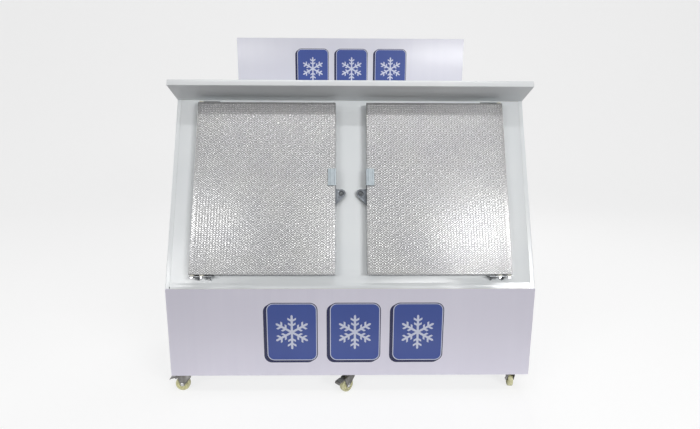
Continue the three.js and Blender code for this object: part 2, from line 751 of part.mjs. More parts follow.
// The fin block between two end plates, on two feet, with the tube bends showing at both ends.
function condenser() {
  const [x0, x1] = condenserSpan();
  const depth = [condenserFront, condenserBack];
  const heights = [condenserBase, condenserBase + CONDENSER_HEIGHT];
  const fins = block([x0 + 12, x1 - 12], depth, inward(heights, 4));
  const plates = [[x0 + 10, x0 + 13], [x1 - 13, x1 - 10]].map((xs) => block(xs, depth, heights));
  const feet = [[x0 + 10, x0 + 40], [x1 - 40, x1 - 10]].map((xs) =>
    block(xs, depth, [panTop, condenserBase + 5]));
  const bends = [];
  for (let turn = 0; turn < 4; turn += 1) {
    const z = condenserBase + 35 + turn * 56;
    const y = (condenserFront + condenserBack) / 2;
    for (const x of [x0 + 4, x1 - 4]) {
      bends.push(bar('z', 4, [z - 14, z + 14], [x, y], 8));
      bends.push(bar('x', 4, [Math.min(x, x0 + 11), Math.max(x, x1 - 11)], [y, z - 12], 8));
    }
  }
  return named('condenser', join(fins, ...plates, ...feet, ...bends), coilAluminium);
}

// Shroud plate and ring, three arms and the motor with its shaft.
function fanShroud() {
  const xs = condenserSpan();
  const ring = FAN_RADIUS + 8;
  const place = [CONDENSER_X, fanHeight];
  const plate = block(xs, [shroudBack - 2, shroudBack], [panTop, condenserBase + CONDENSER_HEIGHT]);
  const collar = bar('y', ring + 2, [ringFront, shroudBack - 1], place, 32);
  const bore = bar('y', ring, [ringFront - THROUGH, shroudBack + THROUGH], place, 32);
  const motor = bar('y', MOTOR_RADIUS, [ringFront - MOTOR_DEPTH, ringFront + 2], place, 24);
  const shaft = bar('y', FAN_SHAFT, [ringFront, ringFront + 32], place, 16);
  const arms = [0, 1, 2].map((arm) => {
    const spoke = new THREE.BoxGeometry(ring + 1, 4, 12);
    spoke.translate((ring + 1) / 2, 0, 0).rotateY(arm * Math.PI * 2 / 3);
    spoke.translate(CONDENSER_X, ringFront + 2, fanHeight);
    return solid(spoke);
  });
  return named('fan_shroud', join(cut(join(plate, collar), bore), motor, shaft, ...arms), galvanised);
}

function fanBlade() {
  const hubRange = [ringFront + 8, ringFront + 28];
  const middle = (hubRange[0] + hubRange[1]) / 2;
  const pitch = 0.5;
  const hub = bar('y', 18, hubRange, [CONDENSER_X, fanHeight], 16);
  const blades = [];
  for (let blade = 0; blade < FAN_BLADES; blade += 1) {
    const paddle = new THREE.BoxGeometry(FAN_RADIUS - 14, 2, 34);
    paddle.rotateX(pitch).translate((FAN_RADIUS + 14) / 2, 0, 0);
    paddle.rotateY(blade * Math.PI * 2 / FAN_BLADES).translate(CONDENSER_X, middle, fanHeight);
    blades.push(solid(paddle));
  }
  const bore = bar('y', FAN_SHAFT + RUNNING, [hubRange[0] - THROUGH, hubRange[1] + THROUGH],
    [CONDENSER_X, fanHeight], 16);
  return named('fan_blade', cut(join(hub, ...blades), bore), fanPlastic);
}

// The box for the controller and wiring, on two legs; its dial faces the grille.
function controlBox() {
  const [left, right] = BOX_SPAN;
  const back = DEPTH - BOX_GAP;
  const bottom = panTop + BOX_STAND;
  const body = block(BOX_SPAN, [back - BOX_DEPTH, back], [bottom, bottom + BOX_HEIGHT]);
  const legs = [[left + 12, left + 40], [right - 40, right - 12]].map((span) =>
    block(span, [back - BOX_DEPTH + 20, back - 20], [panTop, bottom + 1]));
  const dial = bar('y', DIAL_RADIUS, [back - 1, back + 12], [(left + right) / 2, bottom + DIAL_HEIGHT]);
  return named('control_box', join(body, ...legs, dial), whitePaint);
}

const glandPlace = [GLAND_PLACE[0], railTop + GLAND_PLACE[1]];

// A flange outside the grille, the thread through it, a nut inside and the bore for the lead.
function cableGland() {
  const outside = [DEPTH + FIT, DEPTH + 10];
  const inside = [DEPTH - SHEET - 8, DEPTH - SHEET - FIT];
  const body = join(
    bar('y', GLAND_FLANGE, outside, glandPlace, 6),
    bar('y', GLAND_THREAD, [inside[0] - 2, outside[1] - 2], glandPlace, 16),
    bar('y', GLAND_FLANGE, inside, glandPlace, 6));
  const bore = bar('y', LEAD_RADIUS, [inside[0] - THROUGH, outside[1] + THROUGH], glandPlace, 12);
  return named('cable_gland', cut(body, bore), glandPlastic);
}

// ---- Casters ------------------------------------------------------------------------------------

// Plate, bolt heads, raceway and the kingpin with its nut; it doesn't turn.
function casterPlate(name) {
  const plateBottom = CASTER_HEIGHT - PLATE_THICK;
  const raceBottom = plateBottom - RACE_HEIGHT;
  const nut = [crownBottom - FIT - 4, crownBottom - FIT];
  const plate = block(
    [-PLATE_LENGTH / 2, PLATE_LENGTH / 2], [-PLATE_WIDTH / 2, PLATE_WIDTH / 2],
    [plateBottom, CASTER_HEIGHT]);
  const bolts = [[-1, -1], [1, -1], [-1, 1], [1, 1]].map(([u, v]) =>
    bar('z', 6, [plateBottom - 4, plateBottom + 1],
      [u * (PLATE_LENGTH / 2 - 9), v * (PLATE_WIDTH / 2 - 9)], 6));
  const body = join(
    plate,
    ...bolts,
    bar('z', RACE_RADIUS, [raceBottom, plateBottom + 1], [0, 0]),
    bar('z', KINGPIN_RADIUS, [nut[0], raceBottom + 1], [0, 0], 16),
    bar('z', KINGPIN_RADIUS + 4, nut, [0, 0], 6));
  return named(name, body, zincPlate);
}

// One cheek of the fork in side view (along the trail, height), with an ear for a pedal if it has one.
function cheekShape(braked) {
  const eye = 12;
  const lean = 0.35;
  const shape = new THREE.Shape();
  shape.moveTo(-16, crownTop);
  shape.lineTo(-18, crownTop - 12);
  shape.absarc(CASTER_TRAIL, WHEEL_RADIUS, eye, Math.PI + lean, Math.PI * 2 + lean / 2, false);
  if (braked) {
    shape.lineTo(PEDAL_PIVOT[0] + 5, PEDAL_PIVOT[1] - 8);
    shape.absarc(...PEDAL_PIVOT, 7, -lean, Math.PI * 0.6, false);
  }
  shape.lineTo(24, crownTop);
  return shape;
}

function fork(name, braked) {
  const crown = block([-16, 24], [-forkOutside, forkOutside], [crownBottom, crownTop]);
  const shape = cheekShape(braked);
  const cheeks = [
    extruded('y', shape, forkInside, forkOutside),
    extruded('y', shape, -forkOutside, -forkInside),
  ];
  const axlePlace = [CASTER_TRAIL, WHEEL_RADIUS];
  const axle = bar('y', AXLE_RADIUS, [-forkOutside - 5, forkOutside + 5], axlePlace, 16);
  const heads = [-1, 1].map((end) =>
    bar('y', AXLE_RADIUS + 3, [end * (forkOutside + 2) - 3, end * (forkOutside + 2) + 2], axlePlace, 6));
  const holes = [bar('z', KINGPIN_RADIUS + RUNNING, [crownBottom - THROUGH, CASTER_HEIGHT], [0, 0], 16)];
  if (braked) {
    holes.push(bar('y', PEDAL_PIN_RADIUS + RUNNING, [-PLATE_WIDTH, PLATE_WIDTH], PEDAL_PIVOT, 16));
  }
  return named(name, cut(join(crown, ...cheeks, axle, ...heads), ...holes), zincPlate);
}

function wheel(name) {
  const half = WHEEL_WIDTH / 2;
  const hubHalf = half + 1.2;
  const bore = AXLE_RADIUS + RUNNING;
  const r = WHEEL_RADIUS;
  const side = [
    [bore, -hubHalf],
    [HUB_RADIUS, -hubHalf],
    [HUB_RADIUS, -half + 4],
    [r - 9, -half + 4],
    [r - 7, -half],
    [r - 1.5, -half],
    [r, -half + 2.5],
  ];
  const mirrored = side.map(([radius, height]) => [radius, -height]).reverse();
  const body = turned([...side, ...mirrored, side[0]], 'y', [CASTER_TRAIL, 0, WHEEL_RADIUS], 22);
  return named(name, body, nylonCream);
}

// A lever on a cross pin, with a shoe over the tread; it stands released.
function pedal(name) {
  const [px, pz] = PEDAL_PIVOT;
  const tip = PEDAL_REACH;
  const inner = forkInside - 1.4;
  const arm = prism('y', [
    [px - 4, pz + 5], [px - 4, pz - 3], [px + 4, pz - 3], [px + 14, pz - 3.5], [px + 14, pz + 1.5],
    [px + 3, pz + 5],
  ], -inner, inner);
  const tread = prism('y', [
    [px + 12, pz - 3.2], [tip - 6, pz - 9], [tip, pz - 17], [tip + 0.5, pz - 12.5], [tip - 4, pz - 5],
    [px + 12, pz + 2],
  ], -forkOutside, forkOutside);
  const shoe = prism('y', [
    [px + 8, pz], [px + 12, pz - 11.5], [px + 19, pz - 14], [px + 21, pz - 3],
  ], -WHEEL_WIDTH / 2 + 2, WHEEL_WIDTH / 2 - 2);
  const pin = bar('y', PEDAL_PIN_RADIUS, [-forkOutside - 1.5, forkOutside + 1.5], PEDAL_PIVOT, 16);
  return named(name, join(arm, tread, shoe, pin), zincPlate);
}

// A whole caster; the fork, wheel and pedal are turned to where they trail.
function caster(place, [x, y], trailDegrees, braked) {
  const group = new THREE.Group();
  group.position.set(x, y, 0);
  group.add(casterPlate(`caster_${place}_plate`));
  const swivel = new THREE.Group();
  swivel.rotation.z = THREE.MathUtils.degToRad(trailDegrees);
  swivel.add(fork(`caster_${place}_fork`, braked));
  swivel.add(wheel(`caster_${place}_wheel`));
  if (braked) swivel.add(pedal(`caster_${place}_pedal`));
  group.add(swivel);
  return group;
}

// ---- The freezer --------------------------------------------------------------------------------

const casterX = halfWidth - CASTER_INSET;
const freezer = new THREE.Group();
freezer.position.y = -depthMiddle;
freezer.add(
  underframe(),
  sidePanel('left_side_panel', -1),
  sidePanel('right_side_panel', 1),
  basePanel(),
  backPanel(),
  rearGrille(),
  roofHood(),
  insulation(),
  innerLiner(),
  evaporatorPlate(),
  slopingFace(),
  signPanel(),
  signBracket('sign_bracket_left', -1),
  signBracket('sign_bracket_right', 1),
  compressor(),
  condenser(),
  fanShroud(),
  fanBlade(),
  controlBox(),
  cableGland(),
  caster('front_left', [-casterX, casterRow], 180, true),
  caster('front_centre', [0, casterRow], 222, true),
  caster('front_right', [casterX, casterRow], 82, true),
  caster('rear_left', [-casterX, rearCasterRow], 196, false),
  caster('rear_centre', [0, rearCasterRow], 318, false),
  caster('rear_right', [casterX, rearCasterRow], 232, false),
);

export default freezer;
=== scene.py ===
import math

import bmesh
import bpy
from mathutils import Matrix, Vector
from mathutils.geometry import convex_hull_2d

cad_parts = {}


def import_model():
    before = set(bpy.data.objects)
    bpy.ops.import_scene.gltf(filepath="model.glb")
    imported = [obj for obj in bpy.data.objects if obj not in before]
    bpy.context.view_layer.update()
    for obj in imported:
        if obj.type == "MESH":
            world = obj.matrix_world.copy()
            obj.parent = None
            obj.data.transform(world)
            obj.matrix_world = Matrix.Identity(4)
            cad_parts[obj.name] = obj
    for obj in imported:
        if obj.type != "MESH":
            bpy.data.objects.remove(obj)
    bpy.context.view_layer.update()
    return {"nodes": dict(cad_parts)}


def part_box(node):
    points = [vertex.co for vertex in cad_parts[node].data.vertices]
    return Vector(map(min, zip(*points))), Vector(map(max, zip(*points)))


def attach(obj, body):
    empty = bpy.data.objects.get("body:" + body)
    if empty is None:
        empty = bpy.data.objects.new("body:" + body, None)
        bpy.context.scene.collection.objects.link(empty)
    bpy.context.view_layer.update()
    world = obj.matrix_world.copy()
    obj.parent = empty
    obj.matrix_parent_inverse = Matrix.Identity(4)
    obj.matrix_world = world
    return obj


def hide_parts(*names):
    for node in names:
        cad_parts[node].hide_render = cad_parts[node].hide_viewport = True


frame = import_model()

# ---- Sizes in metres, as the freezer is built ----

DEPTH = 0.965
BASE_TOP, BASE_SHEET = 0.577, 0.0018  # the base panel stands its own thickness before the frame
SLOPE_RUN, SLOPE_RISE = 0.390, 0.922
ROOF_TOP = 1.521
DOOR_NEAR, DOOR_FAR = 0.080, 0.800  # the doors' inner and outer edges from the middle
DOOR_BOTTOM, DOOR_TOP = 0.067, 0.968  # up the sloping face
DOOR_MIDDLE = (DOOR_BOTTOM + DOOR_TOP) / 2
DOOR_FRONT = 0.052  # out from the sloping face
DOOR_GAP = 0.006  # between a door and its pivot brackets
PIVOT_X, PIVOT_OUT = 0.785, 0.038
SIGN_FRONT = 0.455
WHEEL_RADIUS, WHEEL_WIDTH, TRAIL = 0.0375, 0.026, 0.030
DIAMOND_WIDTH, DIAMOND_HEIGHT = 0.058, 0.042  # the doors' embossing: short strokes in nested diamonds

LEAN = math.atan2(SLOPE_RUN, SLOPE_RISE)
DEPTH_MIDDLE = (DOOR_BOTTOM * math.sin(LEAN) - DOOR_FRONT * math.cos(LEAN) + DEPTH) / 2
BASE_FACE = -BASE_SHEET - DEPTH_MIDDLE
SIGN_FACE = SIGN_FRONT - DEPTH_MIDDLE
BACK_FACE = DEPTH - DEPTH_MIDDLE

# the sloping face as a plane of its own: x across, y into the cabinet, z up the face
SLOPE = Matrix.Translation((0, -DEPTH_MIDDLE, BASE_TOP)) @ Matrix.Rotation(-LEAN, 4, "X")
SLOPE_OUT = SLOPE.to_3x3() @ Vector((0, -1, 0))
SLOPE_UP = SLOPE.to_3x3() @ Vector((0, 0, 1))

BACKWARD, UPWARD = (0, 1, 0), (0, 0, 1)
SIDES = ((-1, "left"), (1, "right"))
LAID = Matrix.Rotation(math.pi / 2, 4, "X")
UPSIDE_DOWN = Matrix.Rotation(math.pi, 4, "X")

CASTERS = {  # across, back from the face's foot, degrees the trail is turned, whether it has a brake
    "front_left": (-0.853, 0.0468, 180, True),
    "front_centre": (0.0, 0.0468, 222, True),
    "front_right": (0.853, 0.0468, 82, True),
    "rear_left": (-0.853, 0.9182, 196, False),
    "rear_centre": (0.0, 0.9182, 318, False),
    "rear_right": (0.853, 0.9182, 232, False),
}


def on_slope(x, up, out):
    return SLOPE @ Vector((x, -out, up))


def srgb(*levels):
    """A colour given in levels of 255, as Blender's linear one."""
    shares = [level / 255 for level in levels]
    return (*(v / 12.92 if v <= 0.04045 else ((v + 0.055) / 1.055) ** 2.4 for v in shares), 1.0)


# ---- Building node trees ----

NUMBER, VECTOR = "NodeSocketFloat", "NodeSocketVector"
GEOMETRY, MATERIAL = "NodeSocketGeometry", "NodeSocketMaterial"


class Tree:
    """Adds nodes to a tree; a value that is a socket is linked, anything else is set."""

    def __init__(self, tree):
        self.tree = tree

    def add(self, kind, values=(), **settings):
        node = self.tree.nodes.new(kind)
        for key, value in settings.items():
            setattr(node, key, value)
        for key, value in dict(values).items():
            self.feed(node.inputs[key], value)
        return node

    def out(self, kind, values=(), **settings):
        """The first output of a new node."""
        return self.add(kind, values, **settings).outputs[0]

    def feed(self, socket, value):
        if isinstance(value, bpy.types.NodeSocket):
            self.tree.links.new(value, socket)
        else:
            socket.default_value = value

    def math(self, operation, *values):
        return self.out("ShaderNodeMath", enumerate(values), operation=operation)

    def times(self, *values):
        return self.math("MULTIPLY", *values)

    def dot(self, first, second):
        values = {0: first, 1: second}
        return self.add("ShaderNodeVectorMath", values, operation="DOT_PRODUCT").outputs["Value"]

    def mix(self, amount, first, second):
        node = self.add("ShaderNodeMix", {0: amount, 6: first, 7: second}, data_type="RGBA")
        return node.outputs[2]

    def between(self, value, low, high, to_low=0.0, to_high=1.0):
        return self.out("ShaderNodeMapRange", {0: value, 1: low, 2: high, 3: to_low, 4: to_high})

    def noise(self, vector, scale, detail):
        values = {"Vector": vector, "Scale": scale, "Detail": detail}
        return self.add("ShaderNodeTexNoise", values).outputs["Fac"]

    def parts(self, vector):
        return self.add("ShaderNodeSeparateXYZ", {0: vector}).outputs

    def seen_rays(self):
        """1 for rays from the camera and for those that gloss or glass sends on."""
        path = self.add("ShaderNodeLightPath").outputs
        mirrored = self.math("MAXIMUM", path["Is Glossy Ray"], path["Is Transmission Ray"])
        return self.math("MAXIMUM", path["Is Camera Ray"], mirrored)


def group_tree(make, kind, inputs, output, output_kind):
    """A node group named after its maker, as a Tree, and its inputs seen from inside.

    An input is given as its default value or as a kind of socket."""
    group = bpy.data.node_groups.new(make.__name__, kind)
    for key, value in inputs.items():
        given_kind = value if isinstance(value, str) else VECTOR if isinstance(value, tuple) else NUMBER
        name = key.replace("_", " ")
        socket = group.interface.new_socket(name, in_out="INPUT", socket_type=given_kind)
        if value != given_kind:
            socket.default_value = value
    group.interface.new_socket(output, in_out="OUTPUT", socket_type=output_kind)
    tree = Tree(group)
    return tree, tree.add("NodeGroupInput").outputs


def effect(output, **inputs):
    """Makes a shader group of a function that turns the group's tree and inputs into its output."""

    def build(make):
        tree, given = group_tree(make, "ShaderNodeTree", {"Vector": VECTOR, **inputs}, output, NUMBER)
        tree.add("NodeGroupOutput", {output: make(tree, given)})
        return tree.tree

    return build


@effect("Mask", Size=0.1, Contrast=0.2)
def mottle(tree, given):
    """Soft patches, 0 to 1, of a given size."""
    noise = tree.noise(given["Vector"], tree.math("DIVIDE", 1.0, given["Size"]), 3.0)
    low = tree.math("SUBTRACT", 0.5, given["Contrast"])
    high = tree.math("ADD", 0.5, given["Contrast"])
    return tree.between(noise, low, high)


@effect("Height", Grain_Size=0.003, Wave_Size=0.3, Wave_Share=0.5)
def peel(tree, given):
    """The fine unevenness of sprayed or moulded surfaces, with the sheet's own slow waves under it."""
    grain = tree.noise(given["Vector"], tree.math("DIVIDE", 1.0, given["Grain Size"]), 1.0)
    wave = tree.noise(given["Vector"], tree.math("DIVIDE", 1.0, given["Wave Size"]), 0.0)
    waves = tree.times(wave, given["Wave Share"])
    fine = tree.times(grain, tree.math("SUBTRACT", 1.0, given["Wave Share"]))
    return tree.math("ADD", waves, fine)


@effect("Mask", Height=0.2, Amount=0.5)
def floor_grime(tree, given):
    """Dirt that thins out upwards from the floor, broken up into patches."""
    rise = tree.math("DIVIDE", tree.parts(given["Vector"])[2], given["Height"])
    low = tree.between(rise, 0.0, 1.0, 1.0, 0.0)
    patches = tree.between(tree.noise(given["Vector"], 38.0, 5.0), 0.38, 0.66)
    return tree.times(tree.times(low, patches), given["Amount"])


@effect("Mask", Width=0.002, Amount=0.5)
def edge_wear(tree, given):
    """Where an edge is rubbed: the rounded normal leaves the true one only near edges."""
    rounded_normal = tree.out("ShaderNodeBevel", {"Radius": given["Width"]}, samples=4)
    true_normal = tree.add("ShaderNodeNewGeometry").outputs["Normal"]
    edge = tree.between(tree.dot(rounded_normal, true_normal), 0.98, 0.72)
    broken = tree.between(tree.noise(given["Vector"], 90.0, 3.0), 0.42, 0.62)
    return tree.times(tree.times(edge, broken), given["Amount"])


@effect("Height", Stretch=(6.0, 600.0, 600.0))
def brushing(tree, given):
    """Long fine scratches or bands along one axis of the given vector."""
    values = {0: given["Vector"], 1: given["Stretch"]}
    stretched = tree.out("ShaderNodeVectorMath", values, operation="MULTIPLY")
    return tree.noise(stretched, 1.0, 2.0)


@effect("Mask", Size=0.012)
def spangle(tree, given):
    """The crystal patches of hot-dip zinc."""
    values = {"Vector": given["Vector"], "Scale": tree.math("DIVIDE", 1.0, given["Size"])}
    cells = tree.add("ShaderNodeTexVoronoi", values).outputs["Color"]
    return tree.out("ShaderNodeSeparateColor", {0: cells})


@effect("Height", Size=0.004)
def pebble(tree, given):
    """Small rolled pebbles between the raised strokes of the door sheet."""
    scale = tree.math("DIVIDE", 1.0, given["Size"])
    values = {"Vector": given["Vector"], "Scale": scale, "Smoothness": 0.6}
    cells = tree.add("ShaderNodeTexVoronoi", values, feature="SMOOTH_F1").outputs["Distance"]
    return tree.between(cells, 0.1, 0.7, 1.0, 0.0)


@effect("Mask", Width=0.058, Height=0.042)
def diamond_valleys(tree, given):
    """The low ground between the strokes of nested diamonds. Width and height are a diamond's."""
    across, _, up = tree.parts(given["Vector"])
    a = tree.math("DIVIDE", tree.times(across, 2.0), given["Width"])
    b = tree.math("DIVIDE", tree.times(up, 2.0), given["Height"])
    cell = tree.math("ADD", tree.math("FLOOR", a), tree.math("FLOOR", b))
    odd = tree.math("FLOORED_MODULO", cell, 2.0)
    turned = tree.math("SUBTRACT", 1.0, tree.times(odd, 2.0))
    line = tree.math("ADD", a, tree.times(turned, b))
    wave = tree.math("ABSOLUTE", tree.math("SINE", tree.times(line, math.tau)))
    return tree.between(wave, 0.3, 0.95)


# ---- Finishes ----


class Finish(Tree):
    """A material under construction: Object coordinates in, one Principled surface out."""

    def __init__(self, name, metallic=0.0):
        self.material = bpy.data.materials.new(name)
        self.material.use_nodes = True
        super().__init__(self.material.node_tree)
        self.surface = self.tree.nodes["Principled BSDF"].inputs
        self.surface["Metallic"].default_value = metallic
        self.place = self.add("ShaderNodeTexCoord").outputs["Object"]

    def use(self, group, vector=None, **values):
        named = {key.replace("_", " "): value for key, value in values.items()}
        named["Vector"] = vector or self.place
        return self.out("ShaderNodeGroup", named, node_tree=group)

    def mix(self, amount, *tones):
        """A tone that isn't a socket is given in levels of 255."""
        return super().mix(amount, *(srgb(*tone) if isinstance(tone, tuple) else tone for tone in tones))

    def colour(self, value):
        self.feed(self.surface["Base Color"], value)

    def roughness(self, mask, low, high):
        self.feed(self.surface["Roughness"], self.between(mask, 0.0, 1.0, low, high))

    def smeared(self, roughness, size, contrast):
        """Roughness that wanders between two values."""
        self.roughness(self.use(mottle, Size=size, Contrast=contrast), *roughness)

    def patchy(self, tone, shade, size, contrast):
        """One colour that drifts into another near it."""
        return self.mix(self.use(mottle, Size=size, Contrast=contrast), tone, shade)

    def dirtied(self, clean, dirt, height, amount):
        return self.mix(self.use(floor_grime, Height=height, Amount=amount), clean, dirt)

    def relief(self, height, distance, normal=None):
        values = {"Height": height, "Distance": distance, "Strength": 1.0}
        if normal:
            values["Normal"] = normal
        bumped = self.out("ShaderNodeBump", values)
        self.feed(self.surface["Normal"], bumped)
        return bumped

    def grained(self, size, depth, normal=None):
        self.relief(self.use(peel, Grain_Size=size, Wave_Share=0.0), depth, normal)


def painted(name, tone, shade, roughness=(0.18, 0.28), grime=0.35, waves=0.0007):
    """Sprayed enamel on thin sheet."""
    paint = Finish(name)
    clean = paint.patchy(tone, shade, size=0.35, contrast=0.22)
    paint.colour(paint.dirtied(clean, (150, 148, 142), height=0.30, amount=grime))
    paint.smeared(roughness, size=0.05, contrast=0.3)
    slow = paint.relief(paint.use(peel, Grain_Size=0.5, Wave_Size=0.24, Wave_Share=1.0), waves)
    paint.grained(size=0.0028, depth=0.00001, normal=slow)
    return paint.material


def printed_film(name, tone, shade, streak=0.5, waves=0.0005):
    """Vinyl film on a flat panel, with the faint upright bands a squeegee leaves."""
    vinyl = Finish(name)
    bands = vinyl.between(vinyl.use(brushing, Stretch=(26.0, 26.0, 0.6)), 0.35, 0.65, 0.0, streak)
    vinyl.colour(vinyl.mix(bands, vinyl.patchy(tone, shade, size=0.5, contrast=0.25), shade))
    vinyl.smeared((0.29, 0.33), size=0.2, contrast=0.4)
    slow = vinyl.relief(vinyl.use(brushing, Stretch=(14.0, 14.0, 1.6)), waves)
    vinyl.grained(size=0.0016, depth=0.00001, normal=slow)
    return vinyl.material


def embossed_aluminium():
    """Bare aluminium sheet, dull and pebbled in the valleys between its raised strokes; the valleys get
    painted shade and the sheet gets painted glints.
    """
    glint_share, valley_shade_share = 0.45, 0.62
    sheet = Finish("embossed_aluminium", metallic=0.75)
    middle = {"Location": on_slope(0, DOOR_MIDDLE, 0), "Rotation": (-LEAN, 0, 0), "Vector": sheet.place}
    on_door = sheet.out("ShaderNodeMapping", middle, vector_type="TEXTURE")
    valleys = sheet.use(diamond_valleys, on_door, Width=DIAMOND_WIDTH, Height=DIAMOND_HEIGHT)
    tone = sheet.patchy((178, 178, 176), (168, 168, 170), size=0.16, contrast=0.2)
    # painted glints: small bright patches that stand for the embossed sheet's sparkle
    painted_glints = sheet.times(sheet.use(mottle, Size=0.007, Contrast=0.10), glint_share)
    high = sheet.mix(painted_glints, tone, (218, 218, 216))
    normal = sheet.add("ShaderNodeTexCoord").outputs["Normal"]
    front = sheet.between(sheet.dot(normal, tuple(SLOPE_OUT)), 0.5, 0.8)
    # painted shade in the valleys between the strokes, on the door's front only
    low = sheet.times(sheet.times(valleys, front), valley_shade_share)
    sheet.colour(sheet.mix(low, high, (88, 88, 91)))
    sheet.roughness(valleys, 0.26, 0.48)
    slow = sheet.relief(sheet.use(peel, Wave_Size=0.2, Wave_Share=1.0), 0.0016)
    sheet.relief(sheet.use(pebble, Size=0.0045), 0.00022, slow)
    return sheet.material


def bare_metal(name, tone, dull, roughness=(0.28, 0.45), metallic=0.9, wear=0.35):
    """Plated or mill-finish metal, brighter where its edges are rubbed."""
    metal = Finish(name, metallic)
    rubbed = metal.use(edge_wear, Width=0.0012, Amount=wear)
    worn = metal.mix(rubbed, metal.patchy(tone, dull, size=0.02, contrast=0.2), (235, 236, 238))
    metal.colour(metal.dirtied(worn, (88, 84, 78), height=0.12, amount=0.45))
    metal.smeared(roughness, size=0.004, contrast=0.3)
    metal.grained(size=0.0018, depth=0.00004)
    return metal.material


def galvanised_sheet():
    """Hot-dip zinc, each crystal with its own tone and gloss."""
    dip = Finish("galvanised_sheet", metallic=0.85)
    crystals = dip.use(spangle, Size=0.014)
    tone = dip.mix(crystals, (150, 154, 158), (186, 190, 193))
    dip.colour(dip.dirtied(tone, (104, 100, 94), height=0.25, amount=0.5))
    dip.roughness(crystals, 0.34, 0.56)
    dip.relief(dip.use(peel, Grain_Size=0.006, Wave_Size=0.15, Wave_Share=0.7), 0.0004)
    return dip.material


def moulded(name, tone, shade, roughness=(0.38, 0.52), grain=0.0014, depth=0.00003, dirt=0.4):
    """Moulded plastic or rubber with a fine grain."""
    plastic = Finish(name)
    clean = plastic.patchy(tone, shade, size=0.03, contrast=0.25)
    plastic.colour(plastic.dirtied(clean, (96, 90, 78), height=0.09, amount=dirt))
    plastic.smeared(roughness, size=0.008, contrast=0.3)
    plastic.grained(grain, depth)
    return plastic.material


def frosted_plate():
    """The cold plate: mill aluminium under a broken coat of frost."""
    plate = Finish("frosted_plate")
    frost = plate.use(mottle, Size=0.05, Contrast=0.25)
    plate.colour(plate.mix(frost, (206, 212, 216), (236, 241, 245)))
    plate.feed(plate.surface["Metallic"], plate.between(frost, 0.0, 1.0, 0.4, 0.0))
    plate.roughness(frost, 0.35, 0.8)
    plate.relief(plate.use(peel, Grain_Size=0.004, Wave_Size=0.05, Wave_Share=0.5), 0.0004)
    return plate.material


white_enamel = painted("white_enamel", (233, 236, 237), (226, 230, 232))
hood_enamel = painted("hood_enamel", (233, 235, 236), (225, 228, 230), grime=0.0)
black_enamel = painted("black_enamel", (36, 37, 40), (28, 29, 32), (0.22, 0.4), 0.2, 0.0001)
base_film = printed_film("base_film", (230, 227, 239), (223, 220, 233))
sign_film = printed_film("sign_film", (225, 225, 234), (218, 218, 229), waves=0.0002)
blue_ink = printed_film("blue_ink", (62, 84, 156), (56, 76, 146), streak=0.3)
navy_ink = printed_film("navy_ink", (18, 24, 72), (14, 19, 64), streak=0.3)
pale_ink = printed_film("pale_ink", (212, 216, 232), (204, 208, 226), streak=0.3)
door_sheet = embossed_aluminium()
zinc = bare_metal("zinc_plate", (182, 186, 190), (160, 164, 170))
steel_pin = bare_metal("bright_pin", (214, 214, 214), (196, 196, 196), (0.18, 0.3), 0.95)
# a darker copy of zinc_plate: painted shade on the pivot brackets under the doors
bracket_zinc_painted_shade = bare_metal("bracket_zinc_painted_shade", (150, 152, 154), (122, 124, 127), (0.32, 0.5), 0.75)
hasp_zinc = bare_metal("hasp_zinc", (176, 185, 190), (164, 173, 179), (0.42, 0.58), 0.45, 0.15)
# a darker copy of zinc_plate: painted shade under the cabinet on the casters' plates, forks and brake
# levers
caster_zinc_painted_shade = bare_metal("caster_zinc_painted_shade", (134, 133, 131), (104, 102, 99), (0.30, 0.46), 0.85)
# darker than the hasp's pad, though the same plated hardware: painted shade over the hasp's plate and
# ear
ear_steel_painted_shade = bare_metal("ear_steel_painted_shade", (112, 116, 121), (88, 92, 98), (0.3, 0.48), 0.75, 0.6)
# a dark tone that serves as painted shade: in the side seams' notches, in the hasp's eye and in the
# wheels' hubs
painted_shade_steel = bare_metal("painted_shade_steel", (70, 72, 76), (52, 54, 58), (0.35, 0.55), 0.7, 0.5)
coil_metal = bare_metal("coil_metal", (188, 191, 194), (170, 173, 178), wear=0.1)
copper = bare_metal("copper_pipe", (200, 128, 92), (168, 100, 70), (0.25, 0.42), 0.95, 0.1)
galvanised = galvanised_sheet()
cream_nylon = moulded("cream_nylon", (222, 219, 176), (208, 205, 158), grain=0.0022)
bush_nylon = moulded("bush_nylon", (232, 229, 214), (220, 216, 198))
liner_plastic = moulded("liner_plastic", (234, 238, 239), (226, 231, 234), (0.3, 0.42), dirt=0.0)
gasket_rubber = moulded("gasket_rubber", (112, 115, 120), (98, 101, 107), (0.5, 0.66), 0.001)
fan_plastic = moulded("fan_plastic", (48, 49, 52), (38, 39, 42), dirt=0.0)
gland_plastic = moulded("gland_plastic", (40, 41, 45), (32, 33, 36), dirt=0.0)
box_plastic = moulded("control_box_case", (222, 225, 227), (214, 217, 220), dirt=0.0)
foam = moulded("foam_core", (216, 198, 144), (202, 184, 128), (0.85, 0.95), 0.003, 0.0004, 0.0)
frost_plate = frosted_plate()

# ---- Meshes ----

FLAT, FOLDED, CREASE = 0.5, 25, 34  # degrees between faces: flat below, a fold above, shaded sharp above
MERGE = 2e-6  # points nearer than this are one
THIN_SHEET, THIN_PLATE = 0.0032, 0.0045  # a face slimmer than this is a cut edge


def added(name, data):
    thing = bpy.data.objects.new(name, data)
    bpy.context.collection.objects.link(thing)
    return thing


def put(name, shape, material, slot, *nodes, body="cabinet"):
    """Adds a finished piece that rides on a body and stands for CAD nodes, if it is given any."""
    mesh = mesh_of(shape, name) if isinstance(shape, bmesh.types.BMesh) else shape
    mesh.materials.clear()
    mesh.materials.append(material)
    mesh.shade_smooth()
    mesh.set_sharp_from_angle(angle=math.radians(CREASE))
    piece = added(name, mesh)
    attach(piece, body)
    if nodes:
        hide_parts(*nodes)


